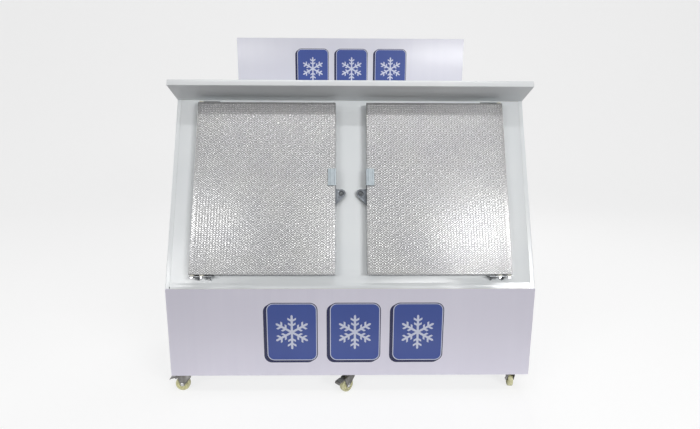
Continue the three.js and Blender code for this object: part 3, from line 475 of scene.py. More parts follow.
def keep(node, material):
    """A CAD node that shows as it is, in a finish of its own."""
    finishes = frame["nodes"][node].data.materials
    finishes.clear()
    finishes.append(material)


def mesh_of(bm, name, outward=True):
    if outward:
        bmesh.ops.recalc_face_normals(bm, faces=bm.faces)
    mesh = bpy.data.meshes.new(name)
    bm.to_mesh(mesh)
    bm.free()
    return mesh


def solid_of(node):
    """A merged copy of a CAD node with its flat faces whole again."""
    bm = bmesh.new()
    bm.from_mesh(frame["nodes"][node].data)
    bmesh.ops.remove_doubles(bm, verts=bm.verts, dist=MERGE)
    flat = math.radians(FLAT)
    bmesh.ops.dissolve_limit(bm, angle_limit=flat, verts=bm.verts, edges=bm.edges, delimit={"NORMAL"})
    return bm


def slimness(face):
    """About the width of a long narrow face."""
    return 2 * face.calc_area() / max(face.calc_perimeter(), 1e-9)


def sharper(bm, degrees):
    return [edge for edge in bm.edges if edge.calc_face_angle(0) > math.radians(degrees)]


def soften(bm, edges, width, segments=2):
    bmesh.ops.bevel(bm, geom=edges, offset=width, segments=segments, profile=0.5, affect="EDGES",
                    clamp_overlap=True)


def formed(node, fold, cut, thin=THIN_SHEET):
    """Sheet work: folds get their bend radius, and cut edges lose their burr.

    A face that runs round a hole is split first, because rounding its edges would close the hole."""
    bm = solid_of(node)
    sharp = sharper(bm, FOLDED)
    cuts = [edge for edge in sharp if min(slimness(face) for face in edge.link_faces) < thin]
    folds = [edge for edge in sharp if edge not in cuts]
    bm.normal_update()
    bmesh.ops.connect_verts_concave(bm, faces=bm.faces)
    for edges, width in ((folds, fold), (cuts, cut)):
        alive = [edge for edge in edges if edge.is_valid]
        if alive:
            soften(bm, alive, width, 3 if width == fold else 1)
    return mesh_of(bm, node, outward=False)


def sheet_piece(name, node, material, slot, fold=0.0022, cut=0.0003, thin=THIN_SHEET, body="cabinet"):
    put(name, formed(node, fold, cut, thin), material, slot, node, body=body)


def band(bm, low, high):
    """Faces between two closed loops of points. A loop of one point is a tip."""
    count = max(len(low), len(high))
    for i in range(count):
        j = (i + 1) % count
        corners = [low[i % len(low)], low[j % len(low)], high[j % len(high)], high[i % len(high)]]
        bm.faces.new(list(dict.fromkeys(corners)))


def prism(bm, outline, low, high, lift=Vector):
    """An upright prism over an outline of (x, y) points; lift takes a point to where it belongs."""
    bottom = [bm.verts.new(lift(Vector((x, y, low)))) for x, y in outline]
    top = [bm.verts.new(lift(Vector((x, y, high)))) for x, y in outline]
    bm.faces.new(bottom[::-1])
    bm.faces.new(top)
    band(bm, bottom, top)


def lathe(bm, profile, matrix, sides):
    """Turns a closed (radius, height) profile about the local Z axis."""
    rings = []
    for radius, height in profile:
        if radius < 1e-6:
            rings.append([bm.verts.new(matrix @ Vector((0, 0, height)))])
            continue
        turns = [2 * math.pi * i / sides for i in range(sides)]
        spots = [Vector((radius * math.cos(turn), radius * math.sin(turn), height)) for turn in turns]
        rings.append([bm.verts.new(matrix @ spot) for spot in spots])
    if len(rings[0]) > 1:
        rings.append(rings[0])
    for low, high in zip(rings, rings[1:]):
        band(bm, low, high)


def disc(bm, matrix, sides, radius, low, high, chamfer=None, hole=0.0):
    """A turned disc or ring from low to high. A chamfer at the high end is (inward, along)."""
    rim = [(radius, high)]
    if chamfer:
        inward, along = chamfer
        rim = [(radius, high - math.copysign(along, high - low)), (radius - inward, high)]
    lathe(bm, [(hole, low), (radius, low), *rim, (hole, high)], matrix, sides)


def tube(bm, points, radius, sides=10):
    """A round tube along points, closed at both ends."""
    path = [Vector(p) for p in points]
    rings, side = [], None
    for i, spot in enumerate(path):
        ahead = (path[min(i + 1, len(path) - 1)] - path[max(i - 1, 0)]).normalized()
        if side is None:
            side = ahead.orthogonal().normalized()
        side = (side - ahead * side.dot(ahead)).normalized()
        up = ahead.cross(side)
        turns = [2 * math.pi * k / sides for k in range(sides)]
        spots = [spot + radius * (side * math.cos(turn) + up * math.sin(turn)) for turn in turns]
        rings.append([bm.verts.new(place) for place in spots])
    for low, high in zip(rings, rings[1:]):
        band(bm, low, high)
    bm.faces.new(rings[0][::-1])
    bm.faces.new(rings[-1])


def smooth_path(corners, radius, steps=6):
    """Straight runs between corners with round bends of one radius."""
    spots = [Vector(c) for c in corners]
    path = [spots[0]]
    for before, corner, after in zip(spots, spots[1:], spots[2:]):
        into, away = (before - corner).normalized(), (after - corner).normalized()
        reach = min(radius, (before - corner).length / 2.1, (after - corner).length / 2.1)
        start, end = corner + into * reach, corner + away * reach
        for k in range(steps + 1):
            t = k / steps
            path.append(start * (1 - t) ** 2 + corner * 2 * t * (1 - t) + end * t**2)
    path.append(spots[-1])
    return path


def rounded_rectangle(centre, width, height, radius, steps=8):
    cx, cy = centre
    points = []
    for turn, (sx, sy) in enumerate(((1, 1), (-1, 1), (-1, -1), (1, -1))):
        mx, my = cx + sx * (width / 2 - radius), cy + sy * (height / 2 - radius)
        for k in range(steps + 1):
            angle = math.pi / 2 * (turn + k / steps)
            points.append((mx + radius * math.cos(angle), my + radius * math.sin(angle)))
    return points


# ---- Repeated shapes ----


def shape_tree(**sizes):
    """Makes a Geometry Nodes tree that sets a shape on each point, turned by the point's angles."""

    def build(make):
        inputs = {"Points": GEOMETRY, **sizes, "Material": MATERIAL}
        tree, given = group_tree(make, "GeometryNodeTree", inputs, "Shapes", GEOMETRY)
        turn = tree.out("GeometryNodeInputNamedAttribute", {"Name": "turn"}, data_type="FLOAT_VECTOR")
        rotation = tree.out("FunctionNodeEulerToRotation", {0: turn})
        values = {"Points": given["Points"], "Instance": make(tree, given), "Rotation": rotation}
        placed = tree.out("GeometryNodeInstanceOnPoints", values)
        real = tree.out("GeometryNodeRealizeInstances", {0: placed})
        dressed = tree.out("GeometryNodeSetMaterial", {"Geometry": real, "Material": given["Material"]})
        tree.add("NodeGroupOutput", {"Shapes": dressed})
        return tree.tree

    return build


def scaled(tree, geometry, x, y, z):
    size = tree.out("ShaderNodeCombineXYZ", {0: x, 1: y, 2: z})
    return tree.out("GeometryNodeTransform", {"Geometry": geometry, "Scale": size})


@shape_tree(Length=0.0132, Width=0.0060, Height=0.0009)
def raised_strokes(tree, given):
    bead = tree.out("GeometryNodeMeshUVSphere", {"Segments": 8, "Rings": 4, "Radius": 0.5})
    return scaled(tree, bead, given["Length"], given["Width"], tree.times(given["Height"], 2.0))


@shape_tree(Width=0.012, Height=0.005)
def hex_screws(tree, given):
    """A six-sided head on a round flange."""
    flange_share, head_share = 0.25, 0.66
    washer = tree.out("GeometryNodeMeshCylinder", {"Vertices": 16, "Radius": 0.5, "Depth": 1.0})
    flat = tree.times(given["Height"], flange_share)
    flange = scaled(tree, washer, given["Width"], given["Width"], flat)
    sizes = {"Vertices": 6, "Radius Top": 0.42, "Radius Bottom": 0.5, "Depth": 1.0}
    nut = tree.out("GeometryNodeMeshCone", sizes)
    across = tree.times(given["Width"], head_share)
    head = scaled(tree, nut, across, across, given["Height"])
    both = tree.add("GeometryNodeJoinGeometry", {0: flange})
    tree.feed(both.inputs[0], head)
    return both.outputs[0]


@shape_tree(Width=0.0005, Depth=0.05, Height=0.2)
def coil_fins(tree, given):
    cube = tree.out("GeometryNodeMeshCube")
    return scaled(tree, cube, given["Width"], given["Depth"], given["Height"])


@shape_tree(Length=0.15, Height=0.011, Depth=0.011)
def louvre_rolls(tree, given):
    """A round roll laid across, half of it outside the sheet."""
    roll = tree.out("GeometryNodeMeshCylinder", {"Vertices": 12, "Radius": 0.5, "Depth": 1.0})
    quarter = tree.out("ShaderNodeCombineXYZ", {1: math.pi / 2})
    laid = tree.out("GeometryNodeTransform", {"Geometry": roll, "Rotation": quarter})
    return scaled(tree, laid, given["Length"], given["Height"], given["Depth"])


def repeat(name, group, spots, material, slot, body="cabinet", **sizes):
    """spots are (place, Euler angles); the shapes become one plain mesh."""
    mesh = bpy.data.meshes.new(name)
    mesh.from_pydata([place for place, _ in spots], [], [])
    turns = mesh.attributes.new("turn", "FLOAT_VECTOR", "POINT")
    turns.data.foreach_set("vector", [angle for _, turn in spots for angle in turn])
    holder = added(f"{name}_points", mesh)
    modifier = holder.modifiers.new("shapes", "NODES")
    modifier.node_group = group
    values = {**sizes, "Material": material}
    for item in group.interface.items_tree:
        if item.in_out == "INPUT" and item.name in values:
            modifier[item.identifier] = values[item.name]
    made = bpy.data.meshes.new_from_object(holder.evaluated_get(bpy.context.evaluated_depsgraph_get()))
    holder.modifiers.remove(modifier)
    bpy.data.objects.remove(holder)
    put(name, made, material, slot, body=body)


def facing(normal, along=(1, 0, 0)):
    """Euler angles that turn local Z to a normal and local X near a direction."""
    z = Vector(normal).normalized()
    x = Vector(along)
    x = (x - z * x.dot(z)).normalized()
    return tuple(Matrix((x, z.cross(x), z)).transposed().to_euler())


# ---- Casing ----


def casing():
    for _, word in SIDES:
        sheet_piece(f"{word}_side_sheet", f"{word}_side_panel", white_enamel, "white_paint")
    sheet_piece("face_sheet", "front_frame", white_enamel, "white_paint", cut=0.0006)
    face_hem()
    notch_shade_patches()
    sheet_piece("hood_sheet", "roof_hood", hood_enamel, "white_paint", fold=0.0028)
    sheet_piece("back_sheet", "back_panel", white_enamel, "white_paint", cut=0.0004)
    sheet_piece("base_sheet", "base_front_panel", base_film, "base_paint", cut=0.0006)
    sheet_piece("sign_tray", "sign_panel", sign_film, "sign_white", fold=0.0015)
    sheet_piece("grille_sheet", "rear_grille", galvanised, "galvanised")
    for _, word in SIDES:
        name = f"sign_bracket_{word}"
        sheet_piece(f"{name}_plate", name, galvanised, "galvanised", fold=0.0012, cut=0.0004)
    for rail in ("front_rail", "rear_rail", "left_rail", "right_rail"):
        sheet_piece(f"{rail}_channel", rail, galvanised, "galvanised", fold=0.0025, cut=0.0004)
    keep("bottom_pan", galvanised)


def face_hem():
    """The foot of the sloping sheet, where it turns in behind the base: it swells and ripples."""
    swells = (  # middle, reach and rise along the foot
        (-0.545, 0.055, 0.0030), (-0.05, 0.10, 0.0018), (0.09, 0.09, 0.0030), (0.21, 0.07, 0.0022),
        (0.635, 0.065, 0.0030), (-0.80, 0.09, 0.0012), (0.42, 0.06, 0.0010),
    )
    half, columns, low, high, rows = 0.9025, 180, 0.0008, 0.0300, 12
    back_lift, front_lift, least = 0.00002, 0.00012, 0.00006

    def rise(x, up):
        share = (up - low) / (high - low)
        swell = sum(most * math.exp(-(((x - middle) / reach) ** 2)) for middle, reach, most in swells)
        return front_lift + (least + swell) * math.sin(math.pi * share) ** 1.4 * (1.25 - 0.5 * share)

    bm = bmesh.new()
    sheets = []
    for front in (True, False):
        grid = []
        for i in range(columns + 1):
            x = -half + 2 * half * i / columns
            ups = [low + (high - low) * j / rows for j in range(rows + 1)]
            lifts = [rise(x, up) if front else back_lift for up in ups]
            grid.append([bm.verts.new(on_slope(x, up, lift)) for up, lift in zip(ups, lifts)])
        for a, b in zip(grid, grid[1:]):
            for j in range(rows):
                bm.faces.new((a[j], b[j], b[j + 1], a[j + 1]))
        foot, top = [column[0] for column in grid], [column[-1] for column in grid[-2::-1]]
        sheets.append(foot + grid[-1][1:] + top + grid[0][-2:0:-1])
    band(bm, *sheets)
    put("face_sheet_foot", bm, white_enamel, "white_paint")


def notch_shade_patches():
    """Dark patches at the foot of each side seam: painted shade where the flange was nicked before
    bending.
    """
    across, up, width, height, corner = 0.9042, 0.0062, 0.0024, 0.0104, 0.0011
    under, over = -0.0002, 0.0005
    bm = bmesh.new()
    outline = rounded_rectangle((across, up), width, height, corner, 4)
    for side, _ in SIDES:
        prism(bm, outline, under, over, lambda p: on_slope(side * p.x, p.y, p.z))
    put("notch_shade_patches", bm, painted_shade_steel, "white_paint")


def casing_screws():
    edge, edge_heights = 0.885, (0.14, 0.25, 0.37, 0.46, 0.72, 0.98, 1.24, 1.46)
    seams, seam_places = (0.125, 0.405, 0.435, 1.485), (-0.6, -0.3, 0.0, 0.3, 0.6)
    bracket, spread, foot, washer = 0.38, 0.012, SIGN_FACE + 0.0783, 0.003
    rows = [(x, z) for x in (-edge, edge) for z in edge_heights]
    rows += [(x, z) for z in seams for x in seam_places]
    spots = [((x, BACK_FACE, z), facing(BACKWARD)) for x, z in rows]
    spots += [((side * (bracket + across), foot, ROOF_TOP + washer), facing(UPWARD))
              for side, _ in SIDES for across in (-spread, spread)]
    repeat("casing_screws", hex_screws, spots, zinc, "zinc_plate", Width=0.011, Height=0.005)


def louvres():
    columns, rows, pitch, drop, top, inset = 8, 5, 0.208, 0.03, 0.4262, 0.001
    across = [(column - (columns - 1) / 2) * pitch for column in range(columns)]
    heights = [top - drop * (row + 1) for row in range(rows)]
    spots = [((x, BACK_FACE - inset, z), (0.0, 0.0, 0.0)) for x in across for z in heights]
    repeat("louvre_hoods", louvre_rolls, spots, galvanised, "galvanised", Length=0.148)


# ---- Printed panels ----


def snow_crystal(centre, radius):
    """One outline of a six-armed crystal with two pairs of branches on each arm."""
    cx, cy = centre
    half, slant = radius * 0.06, math.radians(60)
    branches = ((0.36, 0.17), (0.62, 0.2))  # start and length of each pair, as shares of the arm
    step = half * 1.7 / math.sin(slant)
    side = [(half / math.tan(math.radians(30)), half)]
    for root, length in branches:
        root, length = radius * root, radius * length
        dx, dy = length * math.cos(slant), length * math.sin(slant)
        side += [(root, half), (root + dx, half + dy)]
        side += [(root + dx + step, half + dy), (root + step, half)]
    side += [(radius - half, half), (radius, 0.0)]
    arm = [(r, -t) for r, t in side] + [(r, t) for r, t in side[:-1]][::-1]
    outline = []
    for k in range(6):
        c, s = math.cos(math.radians(90 + 60 * k)), math.sin(math.radians(90 + 60 * k))
        outline += [(cx + r * c - t * s, cy + r * s + t * c) for r, t in arm[:-1]]
    return outline


def film(name, outlines, face, layer, material, slot):
    """Cut film on an upright panel: outlines in (x, z), each layer 0.06 mm thick."""
    thick = 0.00006
    bm = bmesh.new()
    for outline in outlines:
        prism(bm, outline, thick * layer, thick * (layer + 1), lambda p: Vector((p.x, face - p.z, p.y)))
    bm.normal_update()
    bmesh.ops.triangulate(bm, faces=[f for f in bm.faces if len(f.verts) > 4])
    put(name, bm, material, slot)


def ice_block_row(place, face, row, middle, size, corner, slot):
    """A row of generic ice blocks, each with a snow crystal, over a navy drop shade."""
    width, height = size
    line, drop = corner * 0.14, (corner * 0.32, corner * 0.2)
    crystal = min(size) * 0.36
    centres = [(x, middle) for x in row]

    def blocks(inset):
        return [rounded_rectangle(centre, width - inset * 2, height - inset * 2, corner - inset)
                for centre in centres]

    def shade(block):
        """The outline round a block and the same block dropped to one side."""
        points = block + [(x - drop[0], z - drop[1]) for x, z in block]
        return [points[i] for i in convex_hull_2d(points)]

    crystals = [snow_crystal(centre, crystal) for centre in centres]
    shades = [shade(block) for block in blocks(0)]
    layers = (("shade", shades, navy_ink), ("line", blocks(line * 0.8), pale_ink),
              ("blue", blocks(line * 1.5), blue_ink), ("crystals", crystals, pale_ink))
    for layer, (word, outlines, ink) in enumerate(layers):
        film(f"{place}_print_{word}", outlines, face, layer, ink, slot)


# ---- Doors ----


def door_strokes(side, word, body):
    """Short raised strokes in nested diamonds over the front of a door."""
    margin, wide, high = 0.012, DIAMOND_WIDTH / 2, DIAMOND_HEIGHT / 2
    near, far = DOOR_NEAR + margin, DOOR_FAR - margin
    tall = (DOOR_TOP - DOOR_BOTTOM) / 2 - margin
    along = [Vector((wide, 0, 0)) + turn * high * SLOPE_UP for turn in (-1, 1)]
    turns = [facing(SLOPE_OUT, direction) for direction in along]
    columns, rows = int(far / wide) + 1, int(tall / high) + 1
    in_cell = [(0.25, 0.25), (0.25, 0.75), (0.75, 0.25), (0.75, 0.75)]  # shares of a quarter diamond
    spots = []
    for i in range(-columns, columns):
        for j in range(-rows, rows):
            for across, up in in_cell:
                x, rise = (i + across) * wide, (j + up) * high
                if near < side * x < far and abs(rise) < tall:
                    spots.append((on_slope(x, DOOR_MIDDLE + rise, DOOR_FRONT), turns[(i + j) % 2]))
    repeat(f"{word}_door_strokes", raised_strokes, spots, door_sheet, "stucco_aluminium", body)


def door(side, word):
    body = f"{word}_door"
    sheet_piece(f"{body}_sheet", f"{body}_skin", door_sheet, "stucco_aluminium", 0.003, body=body)
    sheet_piece(f"{body}_inner_sheet", f"{body}_liner", liner_plastic, "liner_white", 0.0035, body=body)
    sheet_piece(f"{body}_seal", f"{body}_gasket", gasket_rubber, "gasket", 0.0028, 0.0028, body=body)
    keep(f"{body}_foam", foam)
    door_strokes(side, word, body)
    hasp(side, word, body)


def hasp(side, word, body):
    """The hasp's bent plate, its hemmed pad and the rivets that hold it."""
    # the plate and ear take the darker tone as painted shade
    sheet_piece(f"{word}_hasp_plate", f"{word}_door_hasp", ear_steel_painted_shade, "zinc_plate", 0.0013, 0.0008,
                THIN_PLATE, body)
    proud = 0.0033  # how far the plate stands off the door
    near, low, high, face = DOOR_NEAR - proud, 0.518, 0.606, DOOR_FRONT + proud
    section = [  # across the pad from the door's edge, and out from it: a fold, two grooves, a fold
        (0.0, -0.0005), (0.0, 0.0030), (0.0006, 0.0041), (0.0017, 0.0046), (0.0072, 0.0046),
        (0.0084, 0.0030), (0.0104, 0.0030), (0.0116, 0.0048), (0.0300, 0.0048), (0.0314, 0.0026),
        (0.0340, 0.0026), (0.0352, 0.0042), (0.0402, 0.0042), (0.0413, 0.0036), (0.0420, 0.0024),
        (0.0420, -0.0005),
    ]
    cover = bmesh.new()
    prism(cover, section, low, high, lambda p: on_slope(side * (near + p.x), p.z, face + p.y))
    soften(cover, sharper(cover, 80), 0.0007)
    put(f"{word}_hasp_cover", cover, hasp_zinc, "zinc_plate", body=body)

    inset, out = 0.014, 0.036
    inward = facing(SLOPE.to_3x3() @ Vector((-side, 0, 0)))
    spots = [(on_slope(side * near, up, out), inward) for up in (low + inset, high - inset)]
    repeat(f"{word}_hasp_rivets", hex_screws, spots, steel_pin, "zinc_plate", body,
           Width=0.009, Height=0.003)

    # a rim round the ear's hole whose dark tone is painted shade inside the hole
    eye = SLOPE @ Matrix.Translation((side * 0.050, -0.0185, 0.485)) @ LAID
    half = [(0.0068, 0.0010), (0.0108, 0.0010), (0.0112, 0.0021), (0.0132, 0.0021), (0.0138, 0.0015)]
    rim = bmesh.new()
    lathe(rim, [(r, -h) for r, h in half] + half[::-1], eye, 36)
    put(f"{word}_hasp_eye_shade_ring", rim, painted_shade_steel, "zinc_plate", body=body)


# ---- Door pivots ----

BUSH_HOLE, BUSH_RADIUS, BUSH_CHAMFER = 0.0093, 0.0118, (0.0014, 0.0010)
BUSH_LOW, BUSH_HIGH = 0.0002, 0.0052


def upright(x, up):
    """The line of a pivot pin, with Z up the slope."""
    return SLOPE @ Matrix.Translation((x, -PIVOT_OUT, up))


def pivot_bracket(node, material):
    sheet_piece(f"{node}_bracket", node, material, "zinc_plate", 0.0016, 0.0006, THIN_PLATE)


def lower_pivot(side, word):
    """The bracket under a door: nylon bushes above its leaf, nuts and gussets below."""
    node = f"{word}_lower_pivot"
    leaf_top, leaf_bottom = DOOR_BOTTOM - DOOR_GAP, DOOR_BOTTOM - 0.010
    # the bracket and its gussets take the darker zinc as painted shade under the door
    pivot_bracket(node, bracket_zinc_painted_shade)
    stop_x, lap = 0.738, 0.0004
    bushes, nuts, ribs = bmesh.new(), bmesh.new(), bmesh.new()
    for x, hole in ((side * PIVOT_X, BUSH_HOLE), (side * stop_x, 0.0)):
        disc(bushes, upright(x, leaf_top), 28, BUSH_RADIUS, BUSH_LOW, BUSH_HIGH, BUSH_CHAMFER, hole)
        down = upright(x, leaf_bottom) @ UPSIDE_DOWN
        disc(nuts, down, 28, 0.0112, -lap, 0.0012)
        disc(nuts, down, 6, 0.0096, 0.0010, 0.0076, (0.001, 0.001))
        disc(nuts, down, 20, 0.0048, 0.0070, 0.0105, (0.001, 0.001))
    put(f"{node}_bushes", bushes, bush_nylon, "zinc_plate")
    put(f"{node}_nuts", nuts, steel_pin, "zinc_plate")
    rib = [(0.0006, lap), (0.0006, -0.016), (0.006, -0.016), (0.036, -0.005), (0.040, lap)]
    outline = [(out, leaf_bottom + up) for out, up in rib]
    half = 0.0015
    for x in (0.7605, 0.7020):
        prism(ribs, outline, x - half, x + half, lambda p: on_slope(side * p.z, p.y, p.x))
    put(f"{node}_ribs", ribs, bracket_zinc_painted_shade, "zinc_plate")


def upper_pivot(side, word):
    """The same bracket over a door, painted with the face."""
    node = f"{word}_upper_pivot"
    pivot_bracket(node, white_enamel)
    bush = bmesh.new()
    place = upright(side * PIVOT_X, DOOR_TOP + DOOR_GAP)
    disc(bush, place, 28, BUSH_RADIUS, -BUSH_LOW, -BUSH_HIGH, BUSH_CHAMFER, BUSH_HOLE)
    put(f"{node}_bush", bush, bush_nylon, "zinc_plate")


# ---- Casters ----

HUB_FACE, FORK_FACE = 0.0013, 0.0176  # out from the wheel's side, and from its middle


def caster_plate(place, at):
    """The pressed top plate with its four bolts, the ball race under it and the kingpin's nut."""
    bm = bmesh.new()
    prism(bm, rounded_rectangle((0, 0), 0.090, 0.065, 0.008), 0.1026, 0.105, lambda p: at @ p)
    soften(bm, sharper(bm, 60), 0.0006)
    race = [(0.0, 0.1030), (0.0310, 0.1030), (0.0310, 0.1014), (0.0270, 0.1000), (0.0242, 0.0985),
            (0.0262, 0.0968), (0.0268, 0.0948), (0.0250, 0.0928), (0.0215, 0.0921), (0.0, 0.0921)]
    nut = [(0.0, 0.0872), (0.0092, 0.0872), (0.0098, 0.0866), (0.0098, 0.0844), (0.0090, 0.0836),
           (0.0, 0.0836)]
    lathe(bm, race, at, 40)
    disc(bm, at, 24, 0.0058, 0.0925, 0.0836)
    lathe(bm, nut, at, 6)
    bolt_x, bolt_y = 0.036, 0.0235
    for sx in (-1, 1):
        for sy in (-1, 1):
            spot = at @ Matrix.Translation((sx * bolt_x, sy * bolt_y, 0))
            disc(bm, spot, 20, 0.0078, 0.1030, 0.1016)
            disc(bm, spot, 6, 0.0060, 0.1020, 0.0984, (0.0008, 0.0008))
    put(f"caster_{place}_top_plate", bm, caster_zinc_painted_shade, "zinc_plate", f"caster_{place}_plate")


def wheel_profile():
    """Hub, web, rim and tread of one side, and the same mirrored."""
    side = [  # radius, and depth in from the wheel's side
        (0.0054, -0.0012), (0.0092, -0.0012), (0.0104, -0.0004), (0.0112, 0.0040), (0.0270, 0.0044),
        (0.0284, 0.0036), (0.0290, 0.0004), (0.0298, 0.0), (0.0345, 0.0), (0.0362, 0.0012),
        (0.0370, 0.0034), (0.0373, 0.0070),
    ]
    side = [(radius, depth - WHEEL_WIDTH / 2) for radius, depth in side]
    side += [(WHEEL_RADIUS, -0.0016), (WHEEL_RADIUS - 0.0005, -0.0009)]
    return side + [(radius, -height) for radius, height in side[::-1]]


def caster_wheel(place, axle):
    """A spoked nylon wheel with a dark seal on each side of its hub, whose dark tone is painted shade in
    the hub's recess.
    """
    body, half = f"wheel_{place}", WHEEL_WIDTH / 2
    spokes, deep, shallow = 6, 0.0060, 0.0012
    spoke = [(0.0102, -0.0013), (0.0285, -0.0009), (0.0285, 0.0009), (0.0102, 0.0013)]
    wheel, seals = bmesh.new(), bmesh.new()
    lathe(wheel, wheel_profile(), axle, 56)
    for k in range(spokes):
        turn = axle @ Matrix.Rotation(math.tau * k / spokes, 4, "Z")
        for low, high in ((-half + shallow, -half + deep), (half - deep, half - shallow)):
            prism(wheel, spoke, low, high, lambda p: turn @ p)
    put(f"caster_{place}_tyre", wheel, cream_nylon, "nylon", f"caster_{place}_wheel", body=body)
    # dark rings on the hub: seals whose tone is painted shade in the hub's recess
    for end in (-1, 1):
        face = end * (half + HUB_FACE)
        disc(seals, axle, 32, 0.0106, face - end * 0.0022, face, (0.0008, 0.0008), hole=0.0056)
    put(f"caster_{place}_hub_seal_shade", seals, painted_shade_steel, "nylon", body=body)


def caster_fork(place, axle):
    body, node = f"swivel_{place}", f"caster_{place}_fork"
    sheet_piece(f"caster_{place}_yoke", node, caster_zinc_painted_shade, "zinc_plate", 0.0011, 0.0007, 0.0035, body)
    bm = bmesh.new()
    for end in (-1, 1):
        for sides, radius, low, high, chamfer in (  # washer, nut, axle end
            (28, 0.0105, 0.0, 0.0010, None),
            (6, 0.0079, 0.0, 0.0054, (0.0013, 0.0010)),
            (20, 0.0046, 0.0040, 0.0070, (0.0010, 0.0006)),
        ):
            disc(bm, axle, sides, radius, end * (FORK_FACE + low), end * (FORK_FACE + high), chamfer)
    put(f"caster_{place}_axle_nuts", bm, steel_pin, "zinc_plate", body=body)


def caster_pedal(place, local):
    body, node = f"pedal_{place}", f"caster_{place}_pedal"
    sheet_piece(f"caster_{place}_brake_lever", node, caster_zinc_painted_shade, "zinc_plate", 0.0009, 0.0007, 0.002,
                body)
    bm = bmesh.new()
    first, height, pitch, slope = 0.0655, 0.0795, 0.0058, math.atan2(0.0075, 0.031)
    tread = rounded_rectangle((0, 0), 0.0026, 0.030, 0.0012, 4)
    for k in range(4):
        spot = Vector((first + k * pitch, 0, height - k * pitch * math.tan(slope)))
        at = local @ Matrix.Translation(spot) @ Matrix.Rotation(slope, 4, "Y")
        prism(bm, tread, -0.002, 0.0007, lambda p: at @ p)
    put(f"caster_{place}_brake_treads", bm, steel_pin, "zinc_plate", body=body)


def casters():
    for place, (x, y, trail, braked) in CASTERS.items():
        at = Matrix.Translation((x, y - DEPTH_MIDDLE, 0))
        local = at @ Matrix.Rotation(math.radians(trail), 4, "Z")
        axle = local @ Matrix.Translation((TRAIL, 0, WHEEL_RADIUS)) @ LAID
        caster_plate(place, at)
        caster_fork(place, axle)
        caster_wheel(place, axle)
        if braked:
            caster_pedal(place, local)


# ---- Cabin and machinery ----


def cabin():
    sheet_piece("cabin_liner", "inner_liner", liner_plastic, "liner_white", 0.004, 0.0004, thin=0.0042)
    sheet_piece("cold_plate", "evaporator_plate", frost_plate, "coil_aluminium", 0.0008)
    keep("insulation", foam)


def machinery():
    sheet_piece("compressor_shell", "compressor", black_enamel, "black_enamel", 0.0015, 0.0005)
    sheet_piece("condenser_block", "condenser", coil_metal, "coil_aluminium", 0.0008)
    sheet_piece("fan_cowl", "fan_shroud", galvanised, "galvanised", 0.001)
    sheet_piece("fan_rotor", "fan_blade", fan_plastic, "fan_plastic", 0.0006, thin=0.0018, body="fan")
    sheet_piece("control_case", "control_box", box_plastic, "box_paint", 0.004, 0.001)
    sheet_piece("lead_gland", "cable_gland", gland_plastic, "gland_plastic", 0.0008, 0.0004)
    condenser_fins()
    pipes()


def condenser_fins():
    low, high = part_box("condenser")
    count, margin, height, inset = 92, 0.015, 0.2825, 0.0006
    pitch = (high[0] - low[0] - margin * 2) / (count - 1)
    middle = (low[1] + high[1]) / 2
    spots = [((low[0] + margin + k * pitch, middle, height), (0.0, 0.0, 0.0)) for k in range(count)]
    repeat("condenser_fins", coil_fins, spots, coil_metal, "coil_aluminium",
           Depth=high[1] - low[1] - inset, Height=0.234)


def pipes():
    """Copper from the compressor to the condenser, and up into the wall to the cold plate."""
    stub, floor, wall = 0.2295, 0.165, 0.419  # heights
    end, bend, radius = 0.120, 0.025, 0.0042  # how far back the condenser is, and the pipe's own sizes
    runs = (  # across, back from the compressor's middle, up
        ((-0.540, -0.026, stub), (-0.585, -0.026, stub), (-0.585, -0.11, stub), (-0.585, -0.11, floor),
         (0.10, -0.11, floor), (0.10, end, floor), (0.10, end, 0.19), (0.146, end, 0.19)),
        ((-0.540, 0.026, stub), (-0.60, 0.026, stub), (-0.60, 0.026, wall)),
        ((0.454, end, 0.36), (0.50, end, 0.36), (0.50, end, wall)),
    )
    compressor = Vector((0, 0.800 - DEPTH_MIDDLE, 0))
    bm = bmesh.new()
    for run in runs:
        tube(bm, smooth_path([compressor + Vector(corner) for corner in run], bend), radius)
    put("copper_pipes", bm, copper, "coil_aluminium")


# ---- Stage ----


def emptied(owner):
    """The bare node tree of a material or a world."""
    owner.use_nodes = True
    owner.node_tree.nodes.clear()
    return Tree(owner.node_tree)


def stage_material():
    """Pale to the camera and in reflections. It sends light on only near the base and behind it."""
    starts, full = 0.36, 0.16  # how far before the base that starts, and where it is full
    floor = bpy.data.materials.new("studio_floor")
    tree = emptied(floor)
    seen = tree.seen_rays()
    forward = tree.parts(tree.add("ShaderNodeTexCoord").outputs["Object"])[1]
    strip = tree.between(forward, BASE_FACE - starts, BASE_FACE - full)
    bounce = tree.mix(strip, (0.03, 0.03, 0.033, 1), (0.90, 0.90, 0.92, 1))
    lit = tree.out("ShaderNodeBsdfDiffuse", {"Color": (0.28, 0.28, 0.28, 1)})
    glow = tree.out("ShaderNodeEmission", {"Color": (0.75, 0.75, 0.75, 1), "Strength": 1.0})
    pale = tree.out("ShaderNodeAddShader", {0: lit, 1: glow})
    dull = tree.out("ShaderNodeBsdfDiffuse", {"Color": bounce})
    both = tree.out("ShaderNodeMixShader", {0: seen, 1: dull, 2: pale})
    tree.add("ShaderNodeOutputMaterial", {"Surface": both})
    return floor


